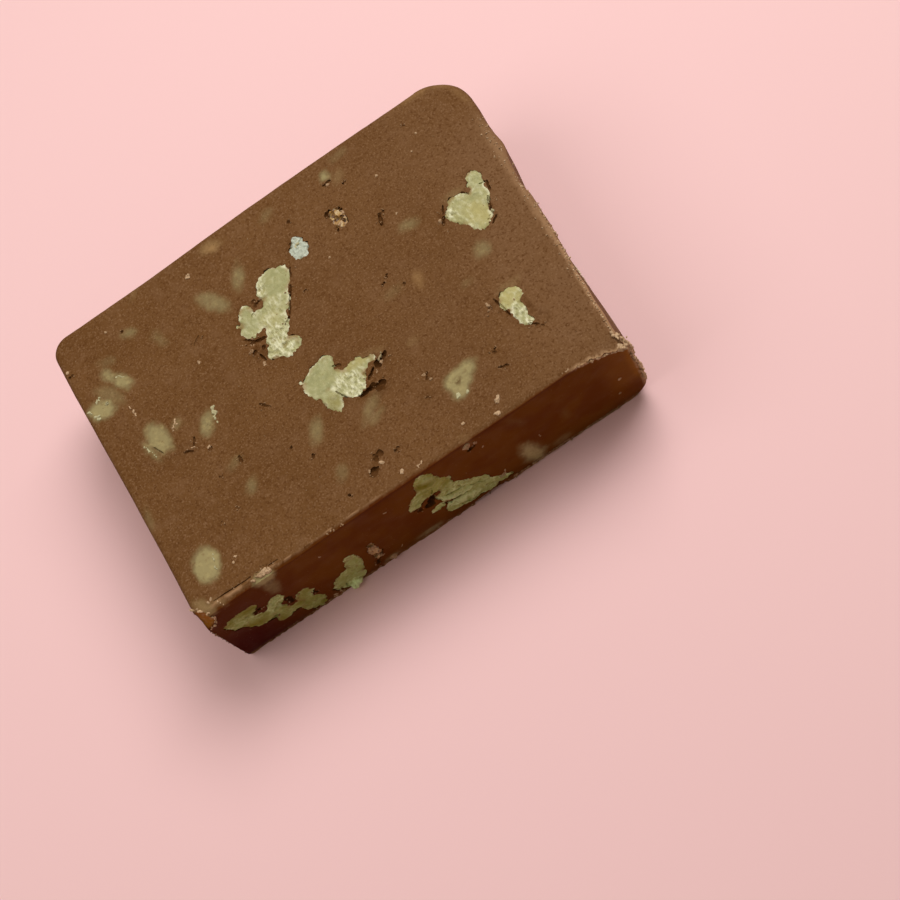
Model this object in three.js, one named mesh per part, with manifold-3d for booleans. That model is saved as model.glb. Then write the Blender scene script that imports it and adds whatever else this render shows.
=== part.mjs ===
// A hand-cut block of toffee pecan fudge, lying flat. Millimetres, +Z up.
//
// The block was cast in a tin and cut once. The cut face looks along -Y, and the other three
// sides are as the tin left them, with rounded back corners. Pecan pieces and bits of toffee
// lie in the fudge all through, and those that reach a face are solids of their own, each in a
// pocket of its own shape. The front left corner is broken, and a crumbly lip runs along the
// top of the right side and round the front right corner.
//
// Everything is laid out from the block's front left bottom corner. The whole group is moved at
// the end, so that the origin is at the middle of the base.

import * as THREE from 'three';
import { mergeVertices } from 'three/addons/utils/BufferGeometryUtils.js';
import Module from 'manifold-3d';

const wasm = await Module();
wasm.setup();

// ---------------------------------------------------------------- driving dimensions

const BLOCK = {
  frontLength: 72, // along the cut face
  backLength: 74.2, // along the back, a little longer
  leftDepth: 52.4, // from the cut face to the back, at the left end
  rightDepth: 53.2, // and at the right end
  height: 20.7,
  leftCorner: 3, // plan radius of the back left corner
  rightCorner: 6.5, // plan radius of the back right corner
  edgeRound: 0.8, // radius of the cast edges
};
const KNIFE_WASTE = 5; // fudge that the knife takes off in front
const SIDE_STEP = 4; // spacing of the outline's points along a straight side
const CORNER_STEPS = 8; // facets in each rounded corner
const WALL_STEPS = 4; // levels up a side wall
const EDGE_STEPS = 2; // facets across a cast edge

const WALL_WANDER = 0.22; // how far the cast walls wander from straight
const SWELL = { y: 37, z: 11, reach: 5.5, rise: 5, out: 0.9 }; // bulge low on the right wall

const POCKET_GAP = 0.3; // room between a piece and the fudge round it
const RECESS = 0.12; // how far a piece's face lies under the block's face
const LOBE_FACETS = { least: 7, perMillimetre: 1.3, rings: 6 }; // round a lobe, and pole to pole
const CRINKLE = 0.09; // how ragged a lobe's outline is

const COLOURS = {
  fudge: 0x70502f,
  pecan: 0xc4c08c,
  toffee: 0xb08f5a,
};

// ---------------------------------------------------------------- faces of the block

// Each face has its own flat frame: u along it, v up or across it, and the third axis outwards.
const X = new THREE.Vector3(1, 0, 0);
const Y = new THREE.Vector3(0, 1, 0);
const Z = new THREE.Vector3(0, 0, 1);

function face(u, v, x, y, z) {
  const outward = new THREE.Vector3().crossVectors(u, v);
  const place = new THREE.Matrix4().makeBasis(u, v, outward).setPosition(x, y, z);
  return { place, outward };
}

const FACES = {
  top: face(X, Y, 0, 0, BLOCK.height),
  front: face(X, Z, 0, 0, 0),
  right: face(Y, Z, (BLOCK.frontLength + BLOCK.backLength) / 2, 0, 0),
  back: face(X.clone().negate(), Z, BLOCK.frontLength, (BLOCK.leftDepth + BLOCK.rightDepth) / 2, 0),
  left: face(Y.clone().negate(), Z, 0, BLOCK.leftDepth, 0),
  base: face(X, Y.clone().negate(), 0, BLOCK.rightDepth, 0),
};

// ---------------------------------------------------------------- pieces in the fudge

// A lobe is [u, v, half length, half width, angle in degrees] on its face, and depth is how far
// the piece goes into the block.
const PIECES = [
  // pecan pieces in the top
  { name: 'pecan_crook', face: 'top', depth: 4, lobes: [
    [34.7, 39.2, 3.2, 2.2, 20], [33.2, 35.6, 3.5, 2.1, 62], [31.0, 30.9, 2.9, 1.8, 65],
    [31.3, 28.4, 2.3, 1.3, -8], [28.3, 35.5, 2.9, 1.5, 66], [30.3, 34.2, 1.7, 1.1, 10] ] },
  { name: 'pecan_wing', face: 'top', depth: 3.6, lobes: [
    [33.0, 21.4, 3.3, 2.3, 35], [33.2, 17.5, 2.2, 1.3, 80], [36.7, 18.3, 2.6, 2.3, 0],
    [39.6, 19.5, 2.9, 0.95, 4] ] },
  { name: 'pecan_heart', face: 'top', depth: 3.8, lobes: [
    [63.8, 31.4, 2.9, 2.6, 60], [65.4, 28.9, 2.5, 1.9, 80], [67.4, 33.1, 2.7, 1.5, 76] ] },
  { name: 'pecan_tooth', face: 'top', depth: 3.2, lobes: [
    [62.3, 14.9, 1.9, 1.7, 0], [62.2, 11.7, 2.4, 1.2, 85] ] },
  { name: 'pecan_drop', face: 'top', depth: 2.8, lobes: [
    [50.9, 9.1, 2.7, 1.5, 24], [48.9, 7.5, 1.7, 1.6, 70] ] },
  { name: 'pecan_egg', face: 'top', depth: 3.2, lobes: [
    [8.0, 28.2, 2.8, 1.7, 98], [6.3, 27.1, 2.2, 0.7, 106] ] },
  { name: 'pecan_oval', face: 'top', depth: 2.8, lobes: [[5.1, 7.0, 2.9, 2.3, 80]] },
  { name: 'pecan_crumb', face: 'top', depth: 2.4, lobes: [[2.8, 37.4, 2.1, 1.7, 150]] },
  { name: 'pecan_bean', face: 'top', depth: 2.4, lobes: [[7.3, 39.8, 2.5, 1.2, 130]] },
  { name: 'pecan_leaf', face: 'top', depth: 2.4, lobes: [[15.4, 25.6, 2.2, 1.2, 55]] },
  { name: 'pecan_tuft', face: 'top', depth: 2.6, lobes: [[40.5, 41.9, 2.0, 1.4, 88]] },
  { name: 'pecan_speck', face: 'top', depth: 1.8, lobes: [[49.6, 49.4, 1.0, 0.8, 90]] },
  { name: 'toffee_nook', face: 'top', depth: 2.2, toffee: true, lobes: [[47.8, 42.0, 1.9, 1.2, 95]] },
  { name: 'toffee_rear', face: 'top', depth: 1.8, toffee: true, lobes: [[29.2, 50.3, 1.4, 0.8, 170]] },

  // pecan pieces in the cut face, and one in its top edge
  { name: 'pecan_ridge', face: 'front', depth: 4.6, lobes: [
    [4.2, 13.2, 2.9, 2.1, -20], [6.2, 10.0, 3.2, 2.3, -30], [9.6, 9.4, 3.6, 1.7, 80],
    [10.4, 5.8, 2.6, 1.8, -25], [13.3, 5.0, 4.2, 1.6, 88] ] },
  { name: 'pecan_fin', face: 'front', depth: 4, lobes: [
    [21.4, 6.8, 3.6, 1.4, 76], [19.6, 4.0, 3.0, 2.2, 40] ] },
  { name: 'pecan_crag', face: 'front', depth: 5.5, lobes: [
    [38.2, 16.2, 3.7, 2.3, 82], [35.2, 13.0, 2.6, 1.8, 50], [39.7, 10.4, 3.2, 2.0, 62],
    [42.3, 6.4, 3.9, 2.5, -42], [40.6, 3.7, 3.3, 1.8, 0], [45.6, 2.9, 1.9, 1.3, -30] ] },
  { name: 'toffee_seam', face: 'front', depth: 2.2, toffee: true, lobes: [[25.1, 6.4, 3.2, 0.9, 86]] },
  { name: 'pecan_edge', face: 'front', depth: 1.9, alsoTop: true, lobes: [[11.3, 20.3, 1.8, 1.5, 0]] },

  // pieces in the other sides and the base, like those that show
  { name: 'pecan_right_front', face: 'right', depth: 4, lobes: [
    [13.5, 9.2, 3.4, 1.9, 35], [17.0, 11.8, 2.6, 1.6, -20] ] },
  { name: 'pecan_right_back', face: 'right', depth: 3.6, lobes: [[29.5, 6.0, 2.7, 1.7, 70]] },
  { name: 'pecan_back', face: 'back', depth: 3.4, lobes: [
    [22.0, 10.6, 3.2, 1.8, 15], [25.4, 12.2, 2.2, 1.4, 60] ] },
  { name: 'pecan_back_small', face: 'back', depth: 2.6, lobes: [[52.0, 7.4, 2.1, 1.4, 110]] },
  { name: 'pecan_left', face: 'left', depth: 3.2, lobes: [[20.5, 10.2, 3.0, 1.8, 160]] },
  { name: 'toffee_left', face: 'left', depth: 2, toffee: true, lobes: [[37.5, 13.6, 1.5, 1.0, 20]] },
  { name: 'pecan_base', face: 'base', depth: 3.4, lobes: [
    [21.0, 20.0, 3.6, 2.0, 40], [24.0, 23.6, 2.6, 1.7, 100] ] },
  { name: 'pecan_base_small', face: 'base', depth: 2.8, lobes: [[53.0, 34.0, 2.6, 1.8, 150]] },
];

// ---------------------------------------------------------------- pits, cracks and crumbs

// Small hollows, as lobes with their own depth last.
const PITS = {
  top: [
    [32.7, 4.1, 0.9, 0.6, 30, 1.2], [34.2, 6.0, 1.0, 0.6, 10, 0.9], [17.0, 17.8, 0.7, 0.5, 90, 1.0],
    [39.1, 15.0, 1.9, 0.65, 0, 1.8], [42.2, 18.3, 1.2, 0.6, 35, 1.4], [27.3, 31.4, 1.5, 0.55, 120, 1.2],
    [26.3, 11.5, 0.6, 0.4, 70, 0.8], [24.1, 22.7, 1.3, 0.35, -50, 0.7], [53.0, 37.7, 1.3, 0.4, 75, 0.9],
    [56.0, 6.4, 1.0, 0.35, -20, 0.7], [48.6, 28.6, 1.2, 0.35, 40, 0.8], [11.4, 23.6, 1.4, 0.35, -35, 0.8],
  ],
  front: [
    [11.2, 9.3, 1.3, 0.55, 95, 1.8], [7.2, 13.0, 1.0, 0.5, 20, 1.2], [36.4, 9.9, 1.5, 0.8, 55, 2.2],
    [45.5, 18.0, 0.8, 0.5, 20, 1.2], [25.6, 9.6, 0.8, 0.5, 0, 1.0],
  ],
};
// The hollow where fudge has crumbled away from under the large piece in the cut face.
const UNDERCUT = { x: 43.8, halfLength: 3.0, depth: 2.6, height: 1.1 };
// The broken front left corner.
const CHIP = { centre: [-1.1, -1.5, 21.4], halfSize: [3.6, 3.9, 5.2], turn: 0.5 };

const SEED = 11;
const LIP_CRUMBS = 28; // along the top of the right side
const CORNER_CRUMBS = 11; // down the front right corner
const FOOT_CRUMBS = 8; // along the foot of the cut face
const CRUMB_SIZE = 0.55;
const LIP_START = 42; // how far back the crumbly lip reaches
const DROOP = { from: 62, sag: 3.6, thickness: 0.55 }; // the lip hangs over the cut face here

// ---------------------------------------------------------------- helpers

// A repeatable sequence of numbers from 0 to 1.
function seededRandom(seed) {
  let state = seed;
  return () => {
    state = (state * 1664525 + 1013904223) % 4294967296;
    return state / 4294967296;
  };
}

const random = seededRandom(SEED);

function between(low, high) {
  return low + (high - low) * random();
}

// A closed geometry as a solid that can be joined and cut.
function toSolid(geometry) {
  const bare = geometry.clone();
  bare.deleteAttribute('normal');
  bare.deleteAttribute('uv');
  const merged = mergeVertices(bare, 1e-4);
  return new wasm.Manifold(new wasm.Mesh({
    numProp: 3,
    vertProperties: new Float32Array(merged.attributes.position.array),
    triVerts: new Uint32Array(merged.index.array),
  }));
}

// A solid back as a geometry.
function toGeometry(solid) {
  const mesh = solid.getMesh();
  const geometry = new THREE.BufferGeometry();
  geometry.setAttribute('position', new THREE.BufferAttribute(mesh.vertProperties, 3));
  geometry.setIndex(new THREE.BufferAttribute(mesh.triVerts, 1));
  geometry.computeVertexNormals();
  return geometry;
}

function joinAll(solids) {
  return solids.reduce((whole, next) => whole.add(next));
}

// Moves every vertex of a geometry by a rule.
function reshape(geometry, rule) {
  const position = geometry.attributes.position;
  const point = new THREE.Vector3();
  for (let i = 0; i < position.count; i += 1) {
    point.fromBufferAttribute(position, i);
    rule(point);
    position.setXYZ(i, point.x, point.y, point.z);
  }
  return geometry;
}

// ---------------------------------------------------------------- the block

// The plan outline before the knife: cast walls all round, with two rounded back corners.
function castOutline() {
  const { frontLength, backLength, leftDepth, rightDepth, leftCorner, rightCorner } = BLOCK;
  const shape = new THREE.Shape();
  shape.moveTo(0, -KNIFE_WASTE);
  shape.lineTo(frontLength, -KNIFE_WASTE);
  shape.lineTo(backLength, rightDepth - rightCorner);
  shape.absarc(backLength - rightCorner, rightDepth - rightCorner, rightCorner, 0, Math.PI / 2);
  shape.lineTo(leftCorner, leftDepth);
  shape.absarc(leftCorner, leftDepth - leftCorner, leftCorner, Math.PI / 2, Math.PI);
  shape.lineTo(0, -KNIFE_WASTE);
  const points = shape.curves.flatMap((curve) => {
    const straight = curve instanceof THREE.LineCurve;
    const parts = straight ? Math.ceil(curve.getLength() / SIDE_STEP) : CORNER_STEPS;
    return curve.getSpacedPoints(parts).slice(0, -1);
  });
  return new THREE.Shape(points);
}

function bell(distance, reach) {
  return Math.exp(-((distance / reach) ** 2));
}

// The walls wander a little, and the right one swells out low down near the back.
function wanderWalls(point) {
  const { x, y, z } = point;
  const lean = WALL_WANDER * Math.sin(y / 7 + z / 9) * (x > BLOCK.frontLength / 2 ? 1 : -0.4);
  const sway = WALL_WANDER * Math.sin(x / 9 + z / 6) * (y > BLOCK.leftDepth / 2 ? 0.7 : 0);
  const onRight = x > BLOCK.frontLength - 1 ? 1 : 0;
  const swell = SWELL.out * bell(y - SWELL.y, SWELL.reach) * bell(z - SWELL.z, SWELL.rise);
  point.set(x + lean + onRight * swell, y + sway, z);
}

function castBlock() {
  const { edgeRound, height } = BLOCK;
  const geometry = new THREE.ExtrudeGeometry(castOutline(), {
    depth: height - 2 * edgeRound,
    steps: WALL_STEPS,
    bevelThickness: edgeRound,
    bevelSize: edgeRound,
    bevelOffset: -edgeRound,
    bevelSegments: EDGE_STEPS,
  });
  geometry.translate(0, 0, edgeRound);
  return toSolid(reshape(geometry, wanderWalls));
}

// The knife's cut: everything in front of the cut face.
function knifeCut() {
  const reach = BLOCK.backLength + 2 * KNIFE_WASTE;
  const geometry = new THREE.BoxGeometry(reach, 2 * KNIFE_WASTE, BLOCK.height + 2 * KNIFE_WASTE);
  geometry.translate(BLOCK.backLength / 2, -KNIFE_WASTE, BLOCK.height / 2);
  return toSolid(geometry);
}

// ---------------------------------------------------------------- lobes, pits and crumbs

// A ragged ellipsoid about the origin, flat on its face's plane.
function lobeGeometry(halfLength, halfWidth, depth, facets, phase) {
  const geometry = new THREE.SphereGeometry(1, facets, LOBE_FACETS.rings);
  geometry.rotateX(Math.PI / 2);
  reshape(geometry, (point) => {
    const around = Math.atan2(point.y, point.x);
    const ragged = 1 + CRINKLE * Math.sin(3 * around + phase) + CRINKLE * Math.sin(5 * around + 2 * phase);
    point.set(point.x * ragged * halfLength, point.y * ragged * halfWidth, point.z * depth);
  });
  return geometry;
}

function lobeSolid(place, [u, v, halfLength, halfWidth, angle], depth, grow) {
  const facets = Math.round(LOBE_FACETS.least + LOBE_FACETS.perMillimetre * halfLength);
  const geometry = lobeGeometry(halfLength + grow, halfWidth + grow, depth + grow, facets, u + v);
  geometry.rotateZ(THREE.MathUtils.degToRad(angle));
  geometry.translate(u, v, 0);
  geometry.applyMatrix4(place);
  return toSolid(geometry);
}

function pieceSolid(piece, grow) {
  const { place } = FACES[piece.face];
  return joinAll(piece.lobes.map((lobe) => lobeSolid(place, lobe, piece.depth, grow)));
}

// The block moved inwards a little, which trims a piece just under the block's own face.
function trimmer(block, piece) {
  const inward = FACES[piece.face].outward.clone().multiplyScalar(-RECESS);
  if (piece.alsoTop) inward.z -= RECESS;
  return block.translate(inward.toArray());
}

function crumb(x, y, z, size) {
  const geometry = new THREE.IcosahedronGeometry(size, 0);
  geometry.scale(between(0.7, 1.4), between(0.7, 1.3), between(0.6, 1));
  geometry.rotateX(between(0, Math.PI));
  geometry.rotateZ(between(0, Math.PI));
  geometry.translate(x, y, z);
  return toSolid(geometry);
}

// Crumbs strung along a curve, each sunk about half its size into the block.
function crumbsAlong(curve, count) {
  return Array.from({ length: count }, (_, i) => {
    const { x, y, z } = curve.getPoint((i + between(0.1, 0.9)) / count);
    const shift = CRUMB_SIZE * 0.3;
    const size = CRUMB_SIZE * between(0.8, 1.5);
    return crumb(x + between(-shift, shift), y + between(-shift, shift), z, size);
  });
}

// The x of the right wall at a distance back from the cut face.
function rightWall(y) {
  const run = (y + KNIFE_WASTE) / (BLOCK.rightDepth - BLOCK.rightCorner + KNIFE_WASTE);
  return THREE.MathUtils.lerp(BLOCK.frontLength, BLOCK.backLength, run);
}

function lipCrumbs() {
  const inset = BLOCK.edgeRound * 0.5;
  const top = BLOCK.height - inset;
  const right = new THREE.LineCurve3(
    new THREE.Vector3(rightWall(0) - inset, 0.6, top),
    new THREE.Vector3(rightWall(LIP_START) - inset, LIP_START, top),
  );
  const corner = new THREE.LineCurve3(
    new THREE.Vector3(rightWall(0) - inset, 0.3, BLOCK.height - inset),
    new THREE.Vector3(rightWall(0) - inset, 0.3, BLOCK.edgeRound),
  );
  const foot = new THREE.LineCurve3(
    new THREE.Vector3(8, 0, 2 * CRUMB_SIZE),
    new THREE.Vector3(BLOCK.frontLength - 4, 0, 2 * CRUMB_SIZE),
  );
  return [
    ...crumbsAlong(right, LIP_CRUMBS),
    ...crumbsAlong(corner, CORNER_CRUMBS),
    ...crumbsAlong(foot, FOOT_CRUMBS),
  ];
}

// The thin lip that hangs from the top edge over the right end of the cut face.
function droopingLip() {
  const length = BLOCK.frontLength - DROOP.from;
  const shape = new THREE.Shape();
  shape.moveTo(0, 0);
  shape.lineTo(length, 0);
  shape.lineTo(length, -DROOP.sag);
  shape.splineThru([
    new THREE.Vector2(length * 0.8, -DROOP.sag * 0.62),
    new THREE.Vector2(length * 0.55, -DROOP.sag * 0.42),
    new THREE.Vector2(length * 0.25, -DROOP.sag * 0.12),
    new THREE.Vector2(0, 0),
  ]);
  const geometry = new THREE.ExtrudeGeometry(shape, {
    depth: 2 * DROOP.thickness,
    bevelEnabled: false,
    curveSegments: 10,
  });
  geometry.rotateX(Math.PI / 2);
  geometry.translate(DROOP.from, DROOP.thickness, BLOCK.height - BLOCK.edgeRound * 0.1);
  return toSolid(geometry);
}

function pitSolids() {
  return Object.entries(PITS).flatMap(([name, pits]) => pits.map((pit) => {
    const depth = pit[5];
    return lobeSolid(FACES[name].place, pit, depth, 0);
  }));
}

function undercut() {
  const geometry = new THREE.IcosahedronGeometry(1, 1);
  geometry.scale(UNDERCUT.halfLength, UNDERCUT.depth, UNDERCUT.height);
  geometry.translate(UNDERCUT.x, 0, 0);
  return toSolid(geometry);
}

function cornerChip() {
  const geometry = new THREE.IcosahedronGeometry(1, 1);
  geometry.rotateZ(CHIP.turn);
  geometry.scale(...CHIP.halfSize);
  geometry.translate(...CHIP.centre);
  return toSolid(geometry);
}

// ---------------------------------------------------------------- assembly

function material(colour, roughness) {
  return new THREE.MeshStandardMaterial({ color: colour, roughness, metalness: 0 });
}

const MATERIALS = {
  fudge: material(COLOURS.fudge, 0.5),
  pecan: material(COLOURS.pecan, 0.7),
  toffee: material(COLOURS.toffee, 0.55),
};

function namedMesh(name, solid, finish) {
  const mesh = new THREE.Mesh(toGeometry(solid), finish);
  mesh.name = name;
  return mesh;
}

const block = castBlock().subtract(knifeCut());
const hollows = [
  ...PIECES.map((piece) => pieceSolid(piece, POCKET_GAP)),
  ...pitSolids(),
  undercut(),
  cornerChip(),
];
const fudge = joinAll([block, droopingLip(), ...lipCrumbs()]).subtract(joinAll(hollows));

const group = new THREE.Group();
group.add(namedMesh('fudge', fudge, MATERIALS.fudge));
PIECES.forEach((piece) => {
  const solid = pieceSolid(piece, 0).intersect(trimmer(block, piece));
  group.add(namedMesh(piece.name, solid, piece.toffee ? MATERIALS.toffee : MATERIALS.pecan));
});

// The origin goes to the middle of the base.
const bounds = new THREE.Box3().setFromObject(group);
const middle = bounds.getCenter(new THREE.Vector3());
group.position.set(-middle.x, -middle.y, -bounds.min.z);

export default group;
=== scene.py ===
"""A hand-cut block of toffee pecan fudge, lying flat, with pecan pieces and toffee in its faces.

A mesh is made in millimetres, measured from the block's front left bottom corner, with X along
the cut face, Y towards the back and Z up. It is then moved into the frame, in metres.
"""

import logging
import math
import random
from dataclasses import dataclass, field
from enum import Enum

import bmesh
import bpy
import numpy as np
from mathutils import Matrix, Quaternion, Vector, noise
from mathutils.bvhtree import BVHTree
from mathutils.kdtree import KDTree


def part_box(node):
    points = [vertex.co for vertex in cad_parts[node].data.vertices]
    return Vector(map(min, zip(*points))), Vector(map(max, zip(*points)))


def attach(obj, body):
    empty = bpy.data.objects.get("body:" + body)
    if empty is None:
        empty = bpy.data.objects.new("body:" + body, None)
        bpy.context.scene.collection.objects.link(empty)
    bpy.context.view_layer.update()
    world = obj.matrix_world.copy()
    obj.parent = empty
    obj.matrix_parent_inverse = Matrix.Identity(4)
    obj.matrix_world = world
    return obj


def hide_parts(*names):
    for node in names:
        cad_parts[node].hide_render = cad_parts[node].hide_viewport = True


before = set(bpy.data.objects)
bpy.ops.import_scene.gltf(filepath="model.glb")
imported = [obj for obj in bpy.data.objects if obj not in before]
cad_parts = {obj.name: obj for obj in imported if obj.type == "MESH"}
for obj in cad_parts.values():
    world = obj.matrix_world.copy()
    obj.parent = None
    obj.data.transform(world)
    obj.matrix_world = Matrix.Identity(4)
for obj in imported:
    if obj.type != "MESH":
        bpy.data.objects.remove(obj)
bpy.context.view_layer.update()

LOG = logging.getLogger("fudge")

MILLIMETRE = 0.001
LEFT_WANDER = 0.09  # the left wall wanders this far out past the block's corner
FRONT_CRUMBS = 0.80  # crumbs stand this far out in front of the cut face

LOBE_NUMBERS = 5  # in the tables, a lobe takes up this many numbers of a row
HOLE_SEED = 50  # the roughness of a piece's holes is counted from here, and that of the pits from 0

Colour = tuple[float, float, float]
Place = tuple[float, float, float]
Row = tuple[float, ...]
Array = np.ndarray
Mesh = bpy.types.Mesh
Socket = bpy.types.NodeSocket


# ------------------------------------------------------------------ faces, lobes and marks


class Face(Enum):
    """The block's faces, each with its own u and v axes. The third axis points outwards."""

    TOP = ((1, 0, 0), (0, 1, 0))
    FRONT = ((1, 0, 0), (0, 0, 1))
    RIGHT = ((0, 1, 0), (0, 0, 1))
    BACK = ((-1, 0, 0), (0, 0, 1))
    LEFT = ((0, -1, 0), (0, 0, 1))
    BASE = ((1, 0, 0), (0, -1, 0))

    @property
    def u(self) -> Vector:
        """The axis along the face."""
        return Vector(self.value[0])

    @property
    def v(self) -> Vector:
        """The axis up or across the face."""
        return Vector(self.value[1])

    @property
    def outward(self) -> Vector:
        """The axis out of the face."""
        return self.u.cross(self.v)


class Nature(Enum):
    """What a piece in the fudge is."""

    PECAN = "pecan"
    TOFFEE = "toffee"


@dataclass(frozen=True)
class Lobe:
    """An ellipse on a face, in millimetres and degrees."""

    u: float
    v: float
    half_length: float
    half_width: float
    angle: float = 0.0

    def reach(self, u: Array, v: Array) -> Array:
        """Tell how far points lie outside the ellipse.

        Args:
            u: The points' places along the face.
            v: The points' places across it.

        Returns:
            Millimetres from the edge, below 0 inside.
        """
        turn = math.radians(self.angle)
        du, dv = u - self.u, v - self.v
        along = (du * math.cos(turn) + dv * math.sin(turn)) / self.half_length
        across = (dv * math.cos(turn) - du * math.sin(turn)) / self.half_width
        return (np.hypot(along, across) - 1.0) * min(self.half_length, self.half_width)


@dataclass(frozen=True)
class Pit:
    """A small hollow where fudge or nut has broken out."""

    lobe: Lobe
    depth: float


@dataclass(frozen=True)
class Tone:
    """A part of a piece that is more torn or more yellow than the rest of it."""

    lobe: Lobe
    torn: float
    yellow: float
    smear: float = 0.0  # how much more fudge the knife drew over it


@dataclass(frozen=True)
class Piece:
    """A pecan piece or a bit of toffee that reaches a face of the block."""

    name: str
    face: Face
    depth: float
    lobes: tuple[Lobe, ...]
    nature: Nature = Nature.PECAN
    film: float = 0.0  # how thick a film of fudge still covers it, 0 to 1
    at_edge: bool = False  # it shows in the top as well as in its own face
    torn: float = 0.35  # from smoothly cut at 0 to torn and whitish at 1
    yellow: float = 0.35  # from grey-green at 0 to yellow at 1
    cool: float = 0.0  # how bluish it is
    smear: float = 0.0  # how much fudge the knife drew over it
    tones: tuple[Tone, ...] = ()
    holes: tuple[Pit, ...] = ()
    knobs: tuple[Pit, ...] = ()  # parts that stand out of the face, by their depth

    @property
    def outward(self) -> Vector:
        """The way out of the block where the piece shows."""
        return (self.face.outward + Face.TOP.outward).normalized() if self.at_edge else self.face.outward

    def reach(self, u: Array, v: Array) -> Array:
        """Tell how far points lie outside the piece's outline. It is below 0 inside."""
        return np.min([lobe.reach(u, v) for lobe in self.lobes], axis=0)


@dataclass(frozen=True)
class Smear:
    """A piece just under the surface, which shows through the fudge as a soft patch."""

    lobe: Lobe
    strength: float
    warmth: float = 0.0  # 0 for pecan, 1 for toffee
    skin: bool = False  # brown pecan skin instead


@dataclass(frozen=True)
class Score:
    """A straight scratch or a crack in a face."""

    start: tuple[float, float]
    end: tuple[float, float]
    width: float
    depth: float


# The tables below are rows of numbers. A row starts with a lobe's u, v, half length, half width
# and angle, and a row without the angle has it at 0.


def lobes(*rows: Row) -> tuple[Lobe, ...]:
    """Make lobes from rows."""
    return tuple(Lobe(*row) for row in rows)


def pits(*rows: Row) -> tuple[Pit, ...]:
    """Make pits from rows that end with the depth."""
    return tuple(Pit(Lobe(*row[:LOBE_NUMBERS]), *row[LOBE_NUMBERS:]) for row in rows)


def tones(*rows: Row) -> tuple[Tone, ...]:
    """Make tones from rows that end with how torn, how yellow and how smeared they are."""
    return tuple(Tone(Lobe(*row[:LOBE_NUMBERS]), *row[LOBE_NUMBERS:]) for row in rows)


def smears(*rows: Row, skin: bool = False) -> tuple[Smear, ...]:
    """Make smears from rows that end with the strength and the warmth."""
    return tuple(Smear(Lobe(*row[:LOBE_NUMBERS]), *row[LOBE_NUMBERS:], skin=skin) for row in rows)


def scores(*rows: Row) -> tuple[Score, ...]:
    """Make scratches from rows of the start, the end, the width and the depth."""
    return tuple(Score(row[:2], row[2:4], *row[4:]) for row in rows)


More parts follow.
